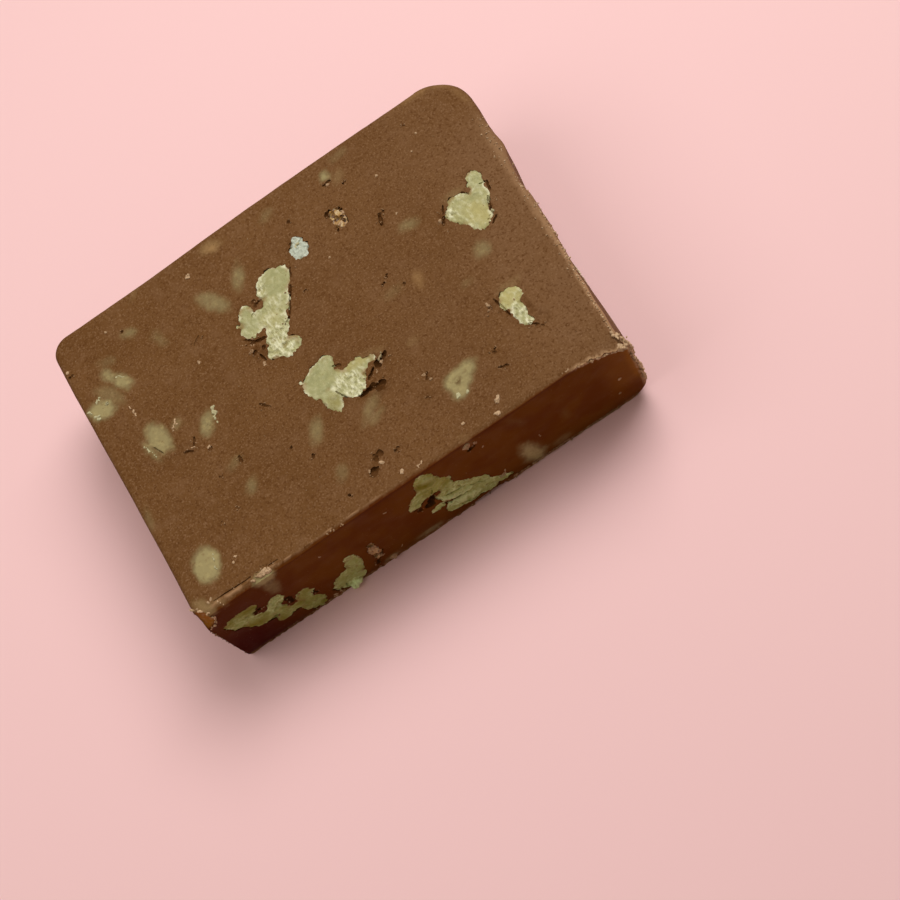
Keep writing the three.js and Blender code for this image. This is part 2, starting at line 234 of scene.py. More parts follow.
PIECES = (
    Piece("pecan_crook", Face.TOP, 4.0, lobes((34.6, 39.6, 3.0, 1.9, 0), (35.5, 38.8, 2.3, 1.8, 60),
        (33.6, 36.4, 3.4, 2.1, 62), (32.5, 38.9, 1.5, 1.2, 60), (31.6, 32.4, 3.1, 1.9, 62),
        (30.4, 30.2, 2.3, 1.9, 80), (29.5, 29.6, 1.5, 1.2, 45), (31.6, 28.6, 2.2, 1.4, 0),
        (31.2, 28.0, 1.3, 0.9, 0), (28.4, 36.7, 2.2, 1.3, 75), (28.2, 34.7, 1.8, 1.6, 0),
        (30.3, 35.2, 1.6, 1.7, 0), (26.9, 36.1, 0.6, 0.3, 150)), torn=0.4, yellow=0.15,
        tones=tones((35.0, 39.3, 2.6, 2.0, 60, 0.0, 0.0), (28.2, 35.8, 2.6, 1.5, 75, 0.15, 0.0),
        (32.3, 39.2, 1.4, 0.8, 70, 1.0, 0.0), (30.6, 29.8, 3.2, 2.2, 70, 1.0, 0.05),
        (31.2, 34.0, 1.2, 1.2, 0, 0.6, 0.35)), holes=pits((29.4, 36.4, 0.45, 0.3, 80, 0.5),
        (30.4, 38.0, 0.7, 0.35, 90, 0.5))),
    Piece("pecan_wing", Face.TOP, 3.6, lobes((33.0, 21.6, 3.2, 2.0, 28), (31.9, 20.4, 2.3, 1.9, 120),
        (32.9, 17.4, 2.5, 1.4, 100), (34.8, 23.2, 1.4, 0.9, -10), (34.7, 20.0, 2.0, 1.5, -20),
        (36.3, 18.0, 2.7, 2.3, 130), (37.9, 19.3, 2.4, 1.5, 12), (40.0, 19.5, 1.7, 0.75, -8),
        (30.4, 22.3, 0.7, 0.25, -30)), torn=0.25, yellow=0.1,
        tones=tones((36.4, 17.6, 2.6, 2.1, 130, 1.0, 0.0), (38.4, 20.2, 2.6, 0.7, -8, 0.2, 0.8, 0.15),
        (32.8, 21.4, 2.6, 2.4, 40, 0.05, 0.0), (32.9, 16.2, 1.5, 1.2, 90, 0.3, 0.2, 0.45)),
        holes=pits((34.4, 17.2, 1.1, 0.16, -62, 0.7), (36.0, 21.6, 0.7, 0.25, -25, 0.4))),
    Piece("pecan_heart", Face.TOP, 3.8, lobes((63.7, 31.7, 2.6, 2.2, 10), (65.2, 29.6, 2.9, 2.0, 85),
        (65.2, 28.0, 1.9, 1.5, 20), (63.9, 29.8, 2.6, 1.5, -55), (67.6, 34.0, 2.0, 1.3, 85),
        (66.9, 31.4, 2.0, 1.6, 70)), torn=0.3, yellow=0.3,
        tones=tones((65.6, 28.8, 2.4, 1.6, 110, 0.2, 0.7), (61.9, 32.0, 0.9, 1.1, 0, 1.0, 0.0),
        (67.4, 33.0, 2.6, 1.2, 85, 0.3, 0.1)), holes=pits((65.4, 33.2, 0.75, 0.18, -50, 0.4),
        (68.4, 33.1, 0.6, 0.16, -10, 0.5), (66.4, 27.5, 0.5, 0.22, 40, 0.3))),
    Piece("pecan_tooth", Face.TOP, 3.2, lobes((62.4, 15.0, 1.9, 1.6, 0), (61.6, 14.7, 1.4, 1.2, 70),
        (62.2, 12.5, 1.9, 1.2, 92), (62.3, 10.9, 1.4, 1.0, 100)), torn=0.5, yellow=0.5,
        tones=tones((62.4, 15.0, 2.0, 1.5, 0, 0.2, 0.85), (62.1, 11.7, 2.0, 1.2, 95, 1.0, 0.0))),
    Piece("pecan_drop", Face.TOP, 2.8, lobes((51.2, 9.3, 2.0, 1.3, 10), (49.6, 8.6, 2.2, 2.0, 0),
        (49.2, 7.4, 1.8, 1.5, 30)), film=0.45),
    Piece("pecan_egg", Face.TOP, 3.2, lobes((8.1, 28.1, 3.1, 1.8, 100), (6.2, 27.1, 1.8, 0.6, 106)),
        film=0.55, holes=pits((7.2, 26.5, 1.1, 0.12, -64, 0.4))),
    Piece("pecan_oval", Face.TOP, 2.8, lobes((5.2, 6.7, 2.9, 2.3, 80)), film=0.45),
    Piece("pecan_crumb", Face.TOP, 2.4, lobes((2.7, 37.6, 2.4, 1.7, 160)), film=0.45),
    Piece("pecan_bean", Face.TOP, 2.4, lobes((7.5, 39.7, 1.9, 1.2, 120), (6.1, 41.8, 1.6, 0.9, 115)),
        film=0.52),
    Piece("pecan_leaf", Face.TOP, 2.4, lobes((15.4, 25.6, 2.2, 1.2, 55)), film=0.7),
    Piece("pecan_tuft", Face.TOP, 2.6, lobes((40.4, 41.3, 1.6, 1.6, 60), (40.7, 42.6, 1.3, 1.0, 100)),
        torn=1.0, yellow=0.0, cool=0.75, holes=pits((40.9, 42.4, 0.7, 0.2, 30, 0.5),
        (39.7, 42.8, 0.4, 0.2, 80, 0.4))),
    Piece("pecan_speck", Face.TOP, 1.8, lobes((49.6, 49.4, 1.0, 0.8, 90)), film=0.5),
    Piece("toffee_nook", Face.TOP, 2.2, lobes((47.8, 42.0, 1.9, 1.2, 95)), Nature.TOFFEE,
        holes=pits((47.3, 43.0, 0.7, 0.5, 40, 0.9), (48.3, 41.4, 0.7, 0.4, 110, 0.9),
        (47.6, 42.1, 0.5, 0.4, 0, 0.8))),
    Piece("toffee_rear", Face.TOP, 1.8, lobes((29.2, 50.3, 1.4, 0.8, 170)), Nature.TOFFEE, film=0.6),
    Piece("pecan_ridge", Face.FRONT, 4.6, lobes((4.1, 13.4, 2.9, 2.0, 5), (3.4, 11.7, 1.9, 1.6, -50),
        (6.4, 14.4, 1.1, 1.0, 0), (5.7, 9.3, 3.1, 2.0, -52), (9.2, 11.2, 2.4, 1.5, 60),
        (8.5, 7.7, 3.2, 1.7, -65), (9.0, 5.4, 1.7, 1.4, 0), (10.9, 5.7, 1.8, 1.5, 0),
        (13.0, 7.5, 2.4, 1.5, 80), (13.0, 3.3, 3.0, 1.9, -75)), torn=0.3, yellow=0.0, smear=0.62,
        tones=tones((9.2, 11.2, 2.6, 1.6, 60, 0.6, 0.0, -0.3), (4.0, 12.8, 2.4, 1.4, -30, 0.5, 0.1, -0.1))),
    Piece("pecan_fin", Face.FRONT, 4.0, lobes((21.4, 6.5, 4.1, 1.5, 84), (19.4, 4.4, 2.9, 2.2, 42),
        (18.0, 2.8, 1.7, 1.6, 0), (20.6, 2.2, 1.9, 1.4, 80), (19.0, 1.4, 1.4, 1.1, 0)), torn=0.4,
        yellow=0.2, smear=0.36, tones=tones((19.3, 1.2, 1.4, 1.2, 0, 1.0, 0.2, -0.4)),
        holes=pits((18.4, 1.6, 0.4, 0.8, 0, 1.0)), knobs=pits((19.6, 0.9, 0.9, 0.7, 0, 1.0))),
    Piece("pecan_crag", Face.FRONT, 5.5, lobes((37.6, 16.4, 3.6, 1.9, 97), (38.9, 13.3, 2.7, 1.9, 110),
        (34.9, 12.8, 2.9, 1.5, 55), (36.6, 16.6, 2.2, 1.2, 80), (37.4, 13.2, 1.8, 1.5, 0),
        (39.6, 9.4, 2.4, 2.4, 0), (42.4, 6.6, 3.5, 2.4, -45), (39.3, 4.2, 2.3, 2.0, 0),
        (44.3, 3.4, 2.5, 2.0, -20), (36.6, 6.8, 1.4, 0.9, 20), (41.6, 3.6, 2.4, 2.0, 0),
        (46.4, 2.6, 2.1, 1.0, -22)), torn=0.5, yellow=0.3, smear=0.27,
        tones=tones((37.8, 15.6, 4.6, 2.6, 105, 0.3, 0.9, 0.38), (39.6, 9.4, 2.2, 2.0, 0, 0.8, 0.5)),
        holes=pits((36.2, 10.0, 1.6, 0.8, 60, 2.2), (37.9, 6.6, 0.9, 0.22, -50, 0.9),
        (39.8, 6.2, 1.5, 0.18, -18, 0.8), (43.0, 3.0, 1.0, 0.13, 60, 0.4), (37.1, 12.2, 1.2, 0.13, 70, 0.4),
        (37.3, 16.6, 0.7, 0.12, 100, 0.3), (39.8, 8.6, 1.9, 0.10, -16, 0.6),
        (40.6, 2.7, 1.6, 0.13, -30, 0.7), (36.9, 14.2, 1.3, 0.09, -22, 0.5),
        (43.4, 6.4, 1.5, 0.09, -42, 0.5)), knobs=pits((40.2, 7.4, 2.4, 0.7, -16, 0.3),
        (40.8, 4.6, 2.6, 0.9, -20, 0.35), (37.8, 16.6, 1.6, 1.2, 80, 0.25))),
    Piece("toffee_seam", Face.FRONT, 2.2, lobes((25.1, 6.4, 3.2, 0.9, 86)), Nature.TOFFEE,
        holes=pits((25.3, 9.0, 0.6, 0.4, 0, 1.0), (24.7, 5.0, 0.9, 0.3, 80, 0.9))),
    Piece("pecan_edge", Face.FRONT, 1.9, lobes((11.3, 20.3, 1.9, 1.6)), film=0.15, at_edge=True),
    Piece("pecan_right_front", Face.RIGHT, 4.0, lobes((13.5, 9.2, 3.4, 1.9, 35),
        (17.0, 11.8, 2.6, 1.6, -20)), yellow=0.5, tones=tones((16.5, 11.4, 2.2, 1.4, -20, 1.0, 0.2))),
    Piece("pecan_right_back", Face.RIGHT, 3.6, lobes((29.5, 6.0, 2.7, 1.7, 70)), film=0.6),
    Piece("pecan_back", Face.BACK, 3.4, lobes((22.0, 10.6, 3.2, 1.8, 15), (25.4, 12.2, 2.2, 1.4, 60)),
        yellow=0.3, tones=tones((21.0, 10.4, 2.0, 1.6, 15, 0.0, 0.0),
        (25.2, 12.0, 2.0, 1.2, 60, 1.0, 0.2))),
    Piece("pecan_back_small", Face.BACK, 2.6, lobes((52.0, 7.4, 2.1, 1.4, 110)), film=0.6),
    Piece("pecan_left", Face.LEFT, 3.2, lobes((20.5, 10.2, 3.0, 1.8, 160)), torn=0.7, yellow=0.4),
    Piece("toffee_left", Face.LEFT, 2.0, lobes((37.5, 13.6, 1.5, 1.0, 20)), Nature.TOFFEE),
    Piece("pecan_base", Face.BASE, 3.4, lobes((21.0, 20.0, 3.6, 2.0, 40), (24.0, 23.6, 2.6, 1.7, 100))),
    Piece("pecan_base_small", Face.BASE, 2.8, lobes((53.0, 34.0, 2.6, 1.8, 150)), film=0.6),
)

SMEARS = {
    Face.TOP: (
        *smears(
            (25.3, 42.2, 2.8, 1.3, 125, 0.62), (30.4, 43.4, 2.0, 0.9, 60, 0.6),
            (11.9, 46.1, 1.2, 0.7, -30, 0.55), (6.8, 44.1, 1.4, 0.8, -20, 0.2),
            (15.5, 42.4, 1.5, 0.8, 110, 0.25), (56.0, 34.2, 1.4, 0.9, -20, 0.45),
            (62.8, 23.9, 1.4, 1.2, 0, 0.5), (28.6, 14.6, 1.9, 1.0, 62, 0.5),
            (16.4, 13.1, 1.2, 0.7, 50, 0.45), (16.0, 17.8, 1.2, 0.7, 20, 0.25),
            (28.6, 6.8, 1.3, 0.9, 60, 0.28), (38.9, 49.6, 1.3, 0.9, 30, 0.22),
            (51.2, 48.0, 1.1, 0.7, 50, 0.35, 0.5), (53.0, 51.2, 1.5, 0.7, 10, 0.2),
            (29.2, 50.6, 1.7, 1.0, 170, 0.6, 0.7), (52.7, 25.8, 1.3, 0.8, 80, 0.5, 1.0),
            (36.9, 12.8, 2.4, 0.9, 40, 0.35), (48.5, 26.4, 1.6, 0.8, 0, 0.14),
            (1.0, 18.0, 1.3, 0.5, 80, 0.3), (15.5, 51.5, 0.9, 0.5, 40, 0.25, 0.6),
            (47.2, 17.8, 0.7, 0.5, 0, 0.3, 0.6), (58.2, 20.8, 1.0, 0.6, 0, 0.15),
            (37.0, 11.2, 1.4, 0.8, 30, 0.3), (4.8, 39.0, 2.6, 1.3, 120, 0.35),
            (1.9, 1.5, 1.8, 0.9, -55, 0.62, 0.4), (4.2, 0.8, 0.8, 0.4, -50, 0.5, 0.6),
            (62.9, 16.6, 1.6, 0.7, 0, 0.35, 0.5), (63.9, 34.2, 1.2, 0.5, 5, 0.45, 0.4),
            (40.8, 20.2, 1.8, 0.5, -15, 0.35, 0.6), (11.4, 28.5, 0.8, 0.6, 0, 0.45),
            (67.6, 52.3, 2.8, 0.6, -3, 0.4, 1.0), (71.5, 51.2, 1.6, 0.6, -35, 0.35, 1.0),
            (73.2, 47.9, 1.8, 0.5, -75, 0.35, 1.0),
        ),
        *smears(
            (63.9, 11.9, 1.7, 0.5, -82, 0.8), (64.6, 9.6, 1.6, 1.0, -60, 0.45),
            (27.3, 30.8, 1.9, 1.2, 100, 0.7), (41.8, 18.0, 2.0, 0.8, 24, 0.6),
            (39.0, 14.9, 2.4, 1.2, -8, 0.5), (60.5, 31.8, 1.7, 0.6, 55, 0.6),
            (47.9, 42.3, 2.3, 1.6, 95, 0.5), (32.7, 4.3, 1.3, 1.0, 30, 0.5),
            (10.8, 24.0, 1.9, 1.0, -20, 0.4), (53.2, 37.6, 1.6, 0.6, 75, 0.5),
            (49.6, 8.5, 0.75, 0.6, 20, 0.8), (50.9, 9.0, 0.5, 0.35, 0, 0.6),
            (46.1, 12.0, 1.2, 0.8, 60, 0.4), (44.8, 9.2, 1.3, 1.0, 0, 0.35), (34.2, 6.1, 1.3, 0.8, 0, 0.4),
            (60.2, 14.2, 2.4, 0.5, -78, 0.6), skin=True,
        ),
    ),
    Face.FRONT: smears(
        (52.4, 4.2, 4.4, 1.4, 98, 1.0), (57.0, 2.2, 1.6, 1.1, 0, 0.3), (52.6, 3.0, 2.0, 1.8, 0, 0.6),
        (11.2, 17.8, 3.6, 1.1, 88, 0.5), (59.5, 9.5, 1.6, 0.6, 90, 0.12), (26.3, 1.3, 1.2, 0.7, 0, 0.7),
        (33.4, 1.5, 2.0, 0.8, 0, 0.7), (45.5, 19.6, 1.3, 0.6, 80, 0.4, 0.7),
        (53.0, 17.0, 2.4, 0.5, 110, 0.12),
    ),
    Face.RIGHT: smears((37.0, 11.5, 3.4, 2.2, 30, 0.35), (6.5, 13.0, 1.5, 0.8, 60, 0.3)),
    Face.BACK: smears((38.0, 13.0, 2.2, 1.2, 20, 0.4), (9.0, 6.0, 1.6, 1.1, 80, 0.3)),
    Face.LEFT: smears((9.0, 7.0, 2.2, 1.1, 120, 0.4), (29.0, 6.0, 1.4, 0.9, 10, 0.35)),
    Face.BASE: smears(
        (36.0, 38.0, 2.4, 1.4, 20, 0.4), (60.0, 14.0, 2.0, 1.2, 80, 0.4), (12.0, 40.0, 1.8, 1.0, 130, 0.35),
        (44.0, 11.0, 1.3, 1.0, 0, 0.3),
    ),
}

PITS = {
    Face.TOP: pits(
        (32.7, 4.1, 0.9, 0.6, 30, 0.9), (34.2, 6.0, 0.9, 0.5, 10, 0.6), (17.0, 17.8, 0.5, 0.4, 90, 0.5),
        (38.0, 15.4, 1.5, 0.35, 4, 1.2), (39.9, 14.9, 1.1, 0.7, 5, 1.3), (41.9, 18.3, 1.3, 0.5, 24, 1.0),
        (39.6, 17.3, 1.0, 0.22, 40, 0.7), (28.0, 32.5, 1.4, 0.3, -10, 0.8), (28.3, 30.9, 0.35, 0.5, 0, 0.7),
        (27.5, 29.6, 0.8, 0.18, -75, 0.6), (26.8, 31.0, 0.5, 0.3, 20, 0.6),
        (34.9, 34.4, 1.6, 0.18, 60, 0.6), (33.4, 32.4, 0.7, 0.2, 45, 0.6), (36.1, 36.4, 0.9, 0.2, 55, 0.6),
        (31.0, 37.9, 0.5, 0.2, 20, 0.5), (26.9, 33.3, 0.8, 0.16, -40, 0.5),
        (37.5, 39.0, 0.9, 0.16, 70, 0.4), (68.9, 32.2, 0.9, 0.15, 80, 0.5),
        (26.3, 11.5, 0.45, 0.3, 70, 0.5), (24.1, 22.7, 1.0, 0.2, -50, 0.3),
        (53.0, 37.7, 1.1, 0.25, 75, 0.5), (53.7, 38.6, 0.5, 0.2, 10, 0.3), (56.0, 6.4, 0.9, 0.2, -20, 0.3),
        (49.2, 29.2, 0.4, 0.18, 60, 0.4), (48.1, 28.4, 0.4, 0.2, 30, 0.4), (11.0, 23.5, 0.8, 0.2, -25, 0.4),
        (12.4, 24.4, 0.8, 0.18, 60, 0.4), (14.0, 21.9, 0.4, 0.25, 20, 0.4),
        (13.3, 17.2, 0.4, 0.2, -30, 0.3), (10.1, 10.9, 0.3, 0.2, 0, 0.3), (13.1, 11.5, 0.25, 0.2, 90, 0.3),
        (24.2, 14.6, 0.3, 0.2, 0, 0.3), (27.9, 3.2, 0.35, 0.25, -30, 0.4), (37.0, 5.0, 0.5, 0.22, 20, 0.4),
        (1.0, 45.5, 0.5, 0.18, 0, 0.4), (11.1, 47.0, 0.28, 0.2, 0, 0.35), (41.3, 46.4, 0.28, 0.25, 70, 0.4),
        (50.7, 26.5, 0.28, 0.22, 0, 0.3), (63.5, 48.9, 0.3, 0.18, 0, 0.3), (60.5, 31.4, 0.8, 0.3, 50, 0.6),
        (61.4, 33.0, 0.8, 0.18, 60, 0.5), (67.5, 29.5, 1.3, 0.2, 70, 0.6), (60.5, 14.3, 2.0, 0.2, -78, 0.7),
        (66.8, 26.9, 0.8, 0.18, 35, 0.5), (62.9, 9.4, 0.8, 0.16, -35, 0.5),
        (63.5, 8.7, 0.9, 0.25, -48, 0.4), (20.2, 38.4, 0.9, 0.16, 40, 0.3),
        (46.2, 12.0, 0.7, 0.22, 60, 0.35), (44.6, 9.0, 0.35, 0.22, 0, 0.3),
        (59.0, 15.5, 0.4, 0.22, 30, 0.3), (56.2, 9.3, 0.6, 0.25, 50, 0.35), (49.2, 48.2, 0.8, 0.2, 0, 0.4),
        (51.5, 46.5, 0.35, 0.2, 20, 0.3), (46.6, 43.6, 0.5, 0.3, 60, 0.7),
        (48.9, 43.2, 0.5, 0.25, 110, 0.6), (47.0, 40.6, 0.6, 0.2, 60, 0.5),
        (37.9, 34.9, 0.3, 0.15, 10, 0.3), (5.8, 1.42, 2.3, 0.07, -2, 0.5), (9.2, 1.34, 2.6, 0.08, -1, 0.5),
        (12.6, 1.26, 1.9, 0.06, -2, 0.5),
    ),
    Face.FRONT: pits(
        (11.1, 9.3, 1.4, 0.5, 95, 1.4), (6.6, 12.5, 0.9, 0.35, 10, 0.9), (45.7, 17.8, 0.8, 0.5, 20, 1.0),
        (14.4, 6.5, 0.8, 0.3, 95, 0.7), (25.3, 9.6, 0.6, 0.4, 0, 0.8), (24.3, 2.6, 0.7, 0.4, 70, 0.7),
        (7.1, 6.9, 0.9, 0.3, 10, 0.6), (34.2, 9.7, 0.6, 0.4, -60, 0.7),
    ),
    Face.BACK: pits((60.0, 12.0, 0.6, 0.35, 20, 0.5), (33.0, 4.0, 0.5, 0.4, 0, 0.5)),
    Face.LEFT: pits((13.0, 14.0, 0.6, 0.35, 70, 0.5), (44.0, 8.0, 0.5, 0.3, 0, 0.4)),
    Face.RIGHT: pits((22.0, 4.4, 0.8, 0.45, 30, 0.7), (44.0, 14.0, 0.5, 0.35, 0, 0.5)),
    Face.BASE: pits((30.0, 12.0, 0.8, 0.45, 50, 0.6), (66.0, 40.0, 0.6, 0.4, 0, 0.5)),
}

SCORES = {
    Face.TOP: scores(
        (56.8, 10.0, 59.4, 15.0, 0.22, 0.10), (21.0, 3.0, 23.2, 7.6, 0.35, 0.05),
        (19.5, 38.6, 22.3, 41.0, 0.30, 0.12), (18.2, 43.2, 22.4, 43.8, 0.6, 0.06),
        (44.8, 38.0, 46.2, 42.6, 0.35, 0.07), (6.7, 33.4, 6.5, 36.0, 0.25, 0.12),
        (25.7, 33.6, 28.3, 32.0, 0.30, 0.16), (68.6, 35.6, 69.6, 37.0, 0.25, 0.10),
        (33.4, 44.4, 34.8, 45.6, 0.3, 0.08), (17.8, 3.4, 18.6, 2.0, 0.25, 0.10),
        (37.4, 12.0, 40.2, 13.8, 0.35, 0.22), (43.6, 36.8, 44.6, 40.4, 0.3, 0.05),
        (36.9, 11.0, 38.0, 13.0, 0.25, 0.22), (35.2, 14.4, 36.2, 11.2, 0.4, 0.12),
        (38.6, 12.6, 41.0, 13.6, 0.3, 0.10), (26.0, 33.0, 27.8, 31.9, 0.25, 0.25),
    ),
}


# ------------------------------------------------------------------ helpers


def ramp(low: float, high: float, value: Array) -> Array:
    """Go smoothly from 0 at low to 1 at high. Low may be the larger of the two."""
    share = np.clip((value - low) / (high - low), 0.0, 1.0)
    return share * share * (3.0 - 2.0 * share)


def noise_at(points: Array, grain: float, seed: int = 0) -> Array:
    """Look up smooth noise, about -1 to 1, whose bumps are grain millimetres across."""
    shift = Vector((17.3, 5.1, 11.9)) * seed
    return np.array([noise.noise(Vector(p) / grain + shift) for p in points])


def rows_of(items: bpy.types.bpy_prop_collection, name: str) -> Array:
    """Read one of a mesh's vectors for each of its vertices.

    Args:
        items: The mesh's vertices or their normals.
        name: The vector's name.

    Returns:
        An array with one row for each vertex.
    """
    flat = np.zeros(len(items) * 3, np.float32)
    items.foreach_get(name, flat)
    return flat.reshape(-1, 3).astype(float)


def grid_of(mesh: Mesh) -> Array:
    """Read a mesh's vertices."""
    return rows_of(mesh.vertices, "co")


def normals_of(mesh: Mesh) -> Array:
    """Read the normals of a mesh's vertices."""
    return rows_of(mesh.vertex_normals, "vector")


def set_grid(mesh: Mesh, points: Array) -> None:
    """Write a mesh's vertices from an array with one row for each."""
    mesh.vertices.foreach_set("co", points.astype(np.float32).ravel())
    mesh.update()


def paint(mesh: Mesh, name: str, values: Array) -> None:
    """Store one number for each vertex, which the mesh's material reads by name."""
    layer = mesh.attributes.new(name, "FLOAT", "POINT")
    layer.data.foreach_set("value", np.clip(values, 0.0, 1.0).astype(np.float32))


def mesh_from(bm: bmesh.types.BMesh, name: str) -> Mesh:
    """Turn a bmesh into a mesh.

    Args:
        bm: The bmesh, which is freed.
        name: The mesh's name.

    Returns:
        The mesh.
    """
    mesh = bpy.data.meshes.new(name)
    bm.to_mesh(mesh)
    bm.free()
    return mesh


def linked(mesh: Mesh) -> bpy.types.Object:
    """Make an object of a mesh and put it in the scene.

    Args:
        mesh: The mesh.

    Returns:
        The object, with the mesh's name.
    """
    made = bpy.data.objects.new(mesh.name, mesh)
    bpy.context.scene.collection.objects.link(made)
    return made


def settled(made: bpy.types.Object) -> Mesh:
    """Take an object's mesh with its modifiers applied, and remove the object.

    Args:
        made: An object with modifiers.

    Returns:
        The mesh that the modifiers made.
    """
    bpy.context.view_layer.update()
    graph = bpy.context.evaluated_depsgraph_get()
    mesh = bpy.data.meshes.new_from_object(made.evaluated_get(graph))
    name, before = made.name, made.data
    bpy.data.objects.remove(made)
    bpy.data.meshes.remove(before)
    mesh.name = name
    return mesh


def joined(bm: bmesh.types.BMesh, name: str, voxel: float) -> Mesh:
    """Melt overlapping closed parts into one skin.

    Args:
        bm: The parts. It is freed.
        name: The mesh's name.
        voxel: How fine the skin is, in millimetres.

    Returns:
        The skin.
    """
    made = linked(mesh_from(bm, name))
    remesh = made.modifiers.new("join", "REMESH")
    remesh.mode = "VOXEL"
    remesh.voxel_size = voxel
    return settled(made)


def subtract(mesh: Mesh, cutters: list[Mesh]) -> Mesh:
    """Cut solids out of a mesh.

    Args:
        mesh: The mesh to cut. It is used up.
        cutters: The closed meshes to cut with. They are used up too.

    Returns:
        The mesh that is left.
    """
    held = bpy.data.collections.new("cutters")
    bpy.context.scene.collection.children.link(held)
    tools = [bpy.data.objects.new("cutter", cutter) for cutter in cutters]
    for tool in tools:
        held.objects.link(tool)
    made = linked(mesh)
    cut = made.modifiers.new("cut", "BOOLEAN")
    cut.operation = "DIFFERENCE"
    cut.operand_type = "COLLECTION"
    cut.collection = held
    cut.solver = "MANIFOLD"
    left = settled(made)
    for tool in tools:
        bpy.data.objects.remove(tool)
    for cutter in cutters:
        bpy.data.meshes.remove(cutter)
    bpy.data.collections.remove(held)
    return left


def thinned(mesh: Mesh, hidden: Array, left: float) -> Mesh:
    """Make a mesh coarser where it is hidden.

    Args:
        mesh: The mesh, which is used up.
        hidden: True for each vertex that doesn't show.
        left: The share of the hidden faces that stays.

    Returns:
        The coarser mesh.
    """
    made = linked(mesh)
    group = made.vertex_groups.new(name="hidden")
    group.add(np.flatnonzero(hidden).tolist(), 1.0, "REPLACE")
    thin = made.modifiers.new("thin", "DECIMATE")
    thin.vertex_group = group.name
    thin.ratio = 1.0 - (1.0 - left) * float(hidden.mean())
    return settled(made)


# ------------------------------------------------------------------ finishes


class Nodes:
    """A new material's node tree, with short calls for the nodes that the finishes use."""

    def __init__(self, name: str) -> None:
        """Make a material whose shader is ready to be given colour and relief.

        Args:
            name: The material's name.
        """
        self.material = bpy.data.materials.new(name)
        self.material.use_nodes = True
        self.tree = self.material.node_tree
        self.shader = self.tree.nodes["Principled BSDF"]
        self.place = self.tree.nodes.new("ShaderNodeTexCoord").outputs["Object"]

    def link(self, source: Socket, target: Socket) -> None:
        """Join one socket to another."""
        self.tree.links.new(source, target)

    def attribute(self, name: str) -> Socket:
        """Read one of the mesh's painted numbers.

        Args:
            name: The name that it was painted under.

        Returns:
            The number's socket.
        """
        node = self.tree.nodes.new("ShaderNodeAttribute")
        node.attribute_name = name
        return node.outputs["Fac"]

    def noise(self, grain: float, detail: float = 2.0, stretch: Colour = (1, 1, 1)) -> Socket:
        """Make noise whose bumps are grain millimetres across.

        Args:
            grain: The size of a bump.
            detail: How many finer layers it has.
            stretch: How much denser the noise is along each axis.

        Returns:
            The noise's height, about 0.5 on average.
        """
        mapping = self.tree.nodes.new("ShaderNodeMapping")
        mapping.inputs["Scale"].default_value = stretch
        self.link(self.place, mapping.inputs["Vector"])
        node = self.tree.nodes.new("ShaderNodeTexNoise")
        node.inputs["Scale"].default_value = 1.0 / (grain * MILLIMETRE)
        node.inputs["Detail"].default_value = detail
        self.link(mapping.outputs["Vector"], node.inputs["Vector"])
        return node.outputs["Fac"]

    def window(self, value: Socket, low: float, high: float, top: float = 1.0) -> Socket:
        """Let a value rise smoothly from 0 where it is low to top where it is high.

        Args:
            value: The value.
            low: Where the rise starts. It may be above high, and the value then falls.
            high: Where it ends.
            top: What it rises to.

        Returns:
            The risen value.
        """
        node = self.tree.nodes.new("ShaderNodeMapRange")
        node.interpolation_type = "SMOOTHSTEP"
        node.inputs["From Min"].default_value = low
        node.inputs["From Max"].default_value = high
        node.inputs["To Max"].default_value = top
        self.link(value, node.inputs["Value"])
        return node.outputs["Result"]

    def times(self, a: Socket, b: Socket) -> Socket:
        """Multiply two values.

        Args:
            a: The first value.
            b: The second value.

        Returns:
            The product.
        """
        node = self.tree.nodes.new("ShaderNodeMath")
        node.operation = "MULTIPLY"
        self.link(a, node.inputs[0])
        self.link(b, node.inputs[1])
        return node.outputs["Value"]

    @staticmethod
    def _colour_socket(sockets: bpy.types.bpy_prop_collection, name: str) -> Socket:
        """Find the colour socket of a name on a mixing node, which has others of that name."""
        return next(socket for socket in sockets if socket.name == name and socket.type == "RGBA")

    def mixed(
        self, share: Socket, a: Socket | Colour, b: Socket | Colour, blend: str = "MIX"
    ) -> Socket:
        """Mix two colours.

        Args:
            share: How much of the second colour is used.
            a: The first colour, or the socket that gives it.
            b: The second colour, or its socket.
            blend: How they are mixed.

        Returns:
            The mixed colour.
        """
        node = self.tree.nodes.new("ShaderNodeMix")
        node.data_type = "RGBA"
        node.blend_type = blend
        self.link(share, node.inputs["Factor"])
        for name, value in (("A", a), ("B", b)):
            socket = self._colour_socket(node.inputs, name)
            if isinstance(value, Socket):
                self.link(value, socket)
            else:
                socket.default_value = (*value, 1.0)
        return self._colour_socket(node.outputs, "Result")

    def raise_by(self, height: Socket, depth: float, strength: float) -> None:
        """Add fine relief to the shader, over any that it has.

        Args:
            height: The relief, 0 to 1.
            depth: How deep it is, in millimetres.
            strength: How much of it shows.
        """
        node = self.tree.nodes.new("ShaderNodeBump")
        node.inputs["Distance"].default_value = depth * MILLIMETRE
        node.inputs["Strength"].default_value = strength
        self.link(height, node.inputs["Height"])
        before = self.shader.inputs["Normal"]
        if before.is_linked:
            self.link(before.links[0].from_socket, node.inputs["Normal"])
        self.link(node.outputs["Normal"], before)


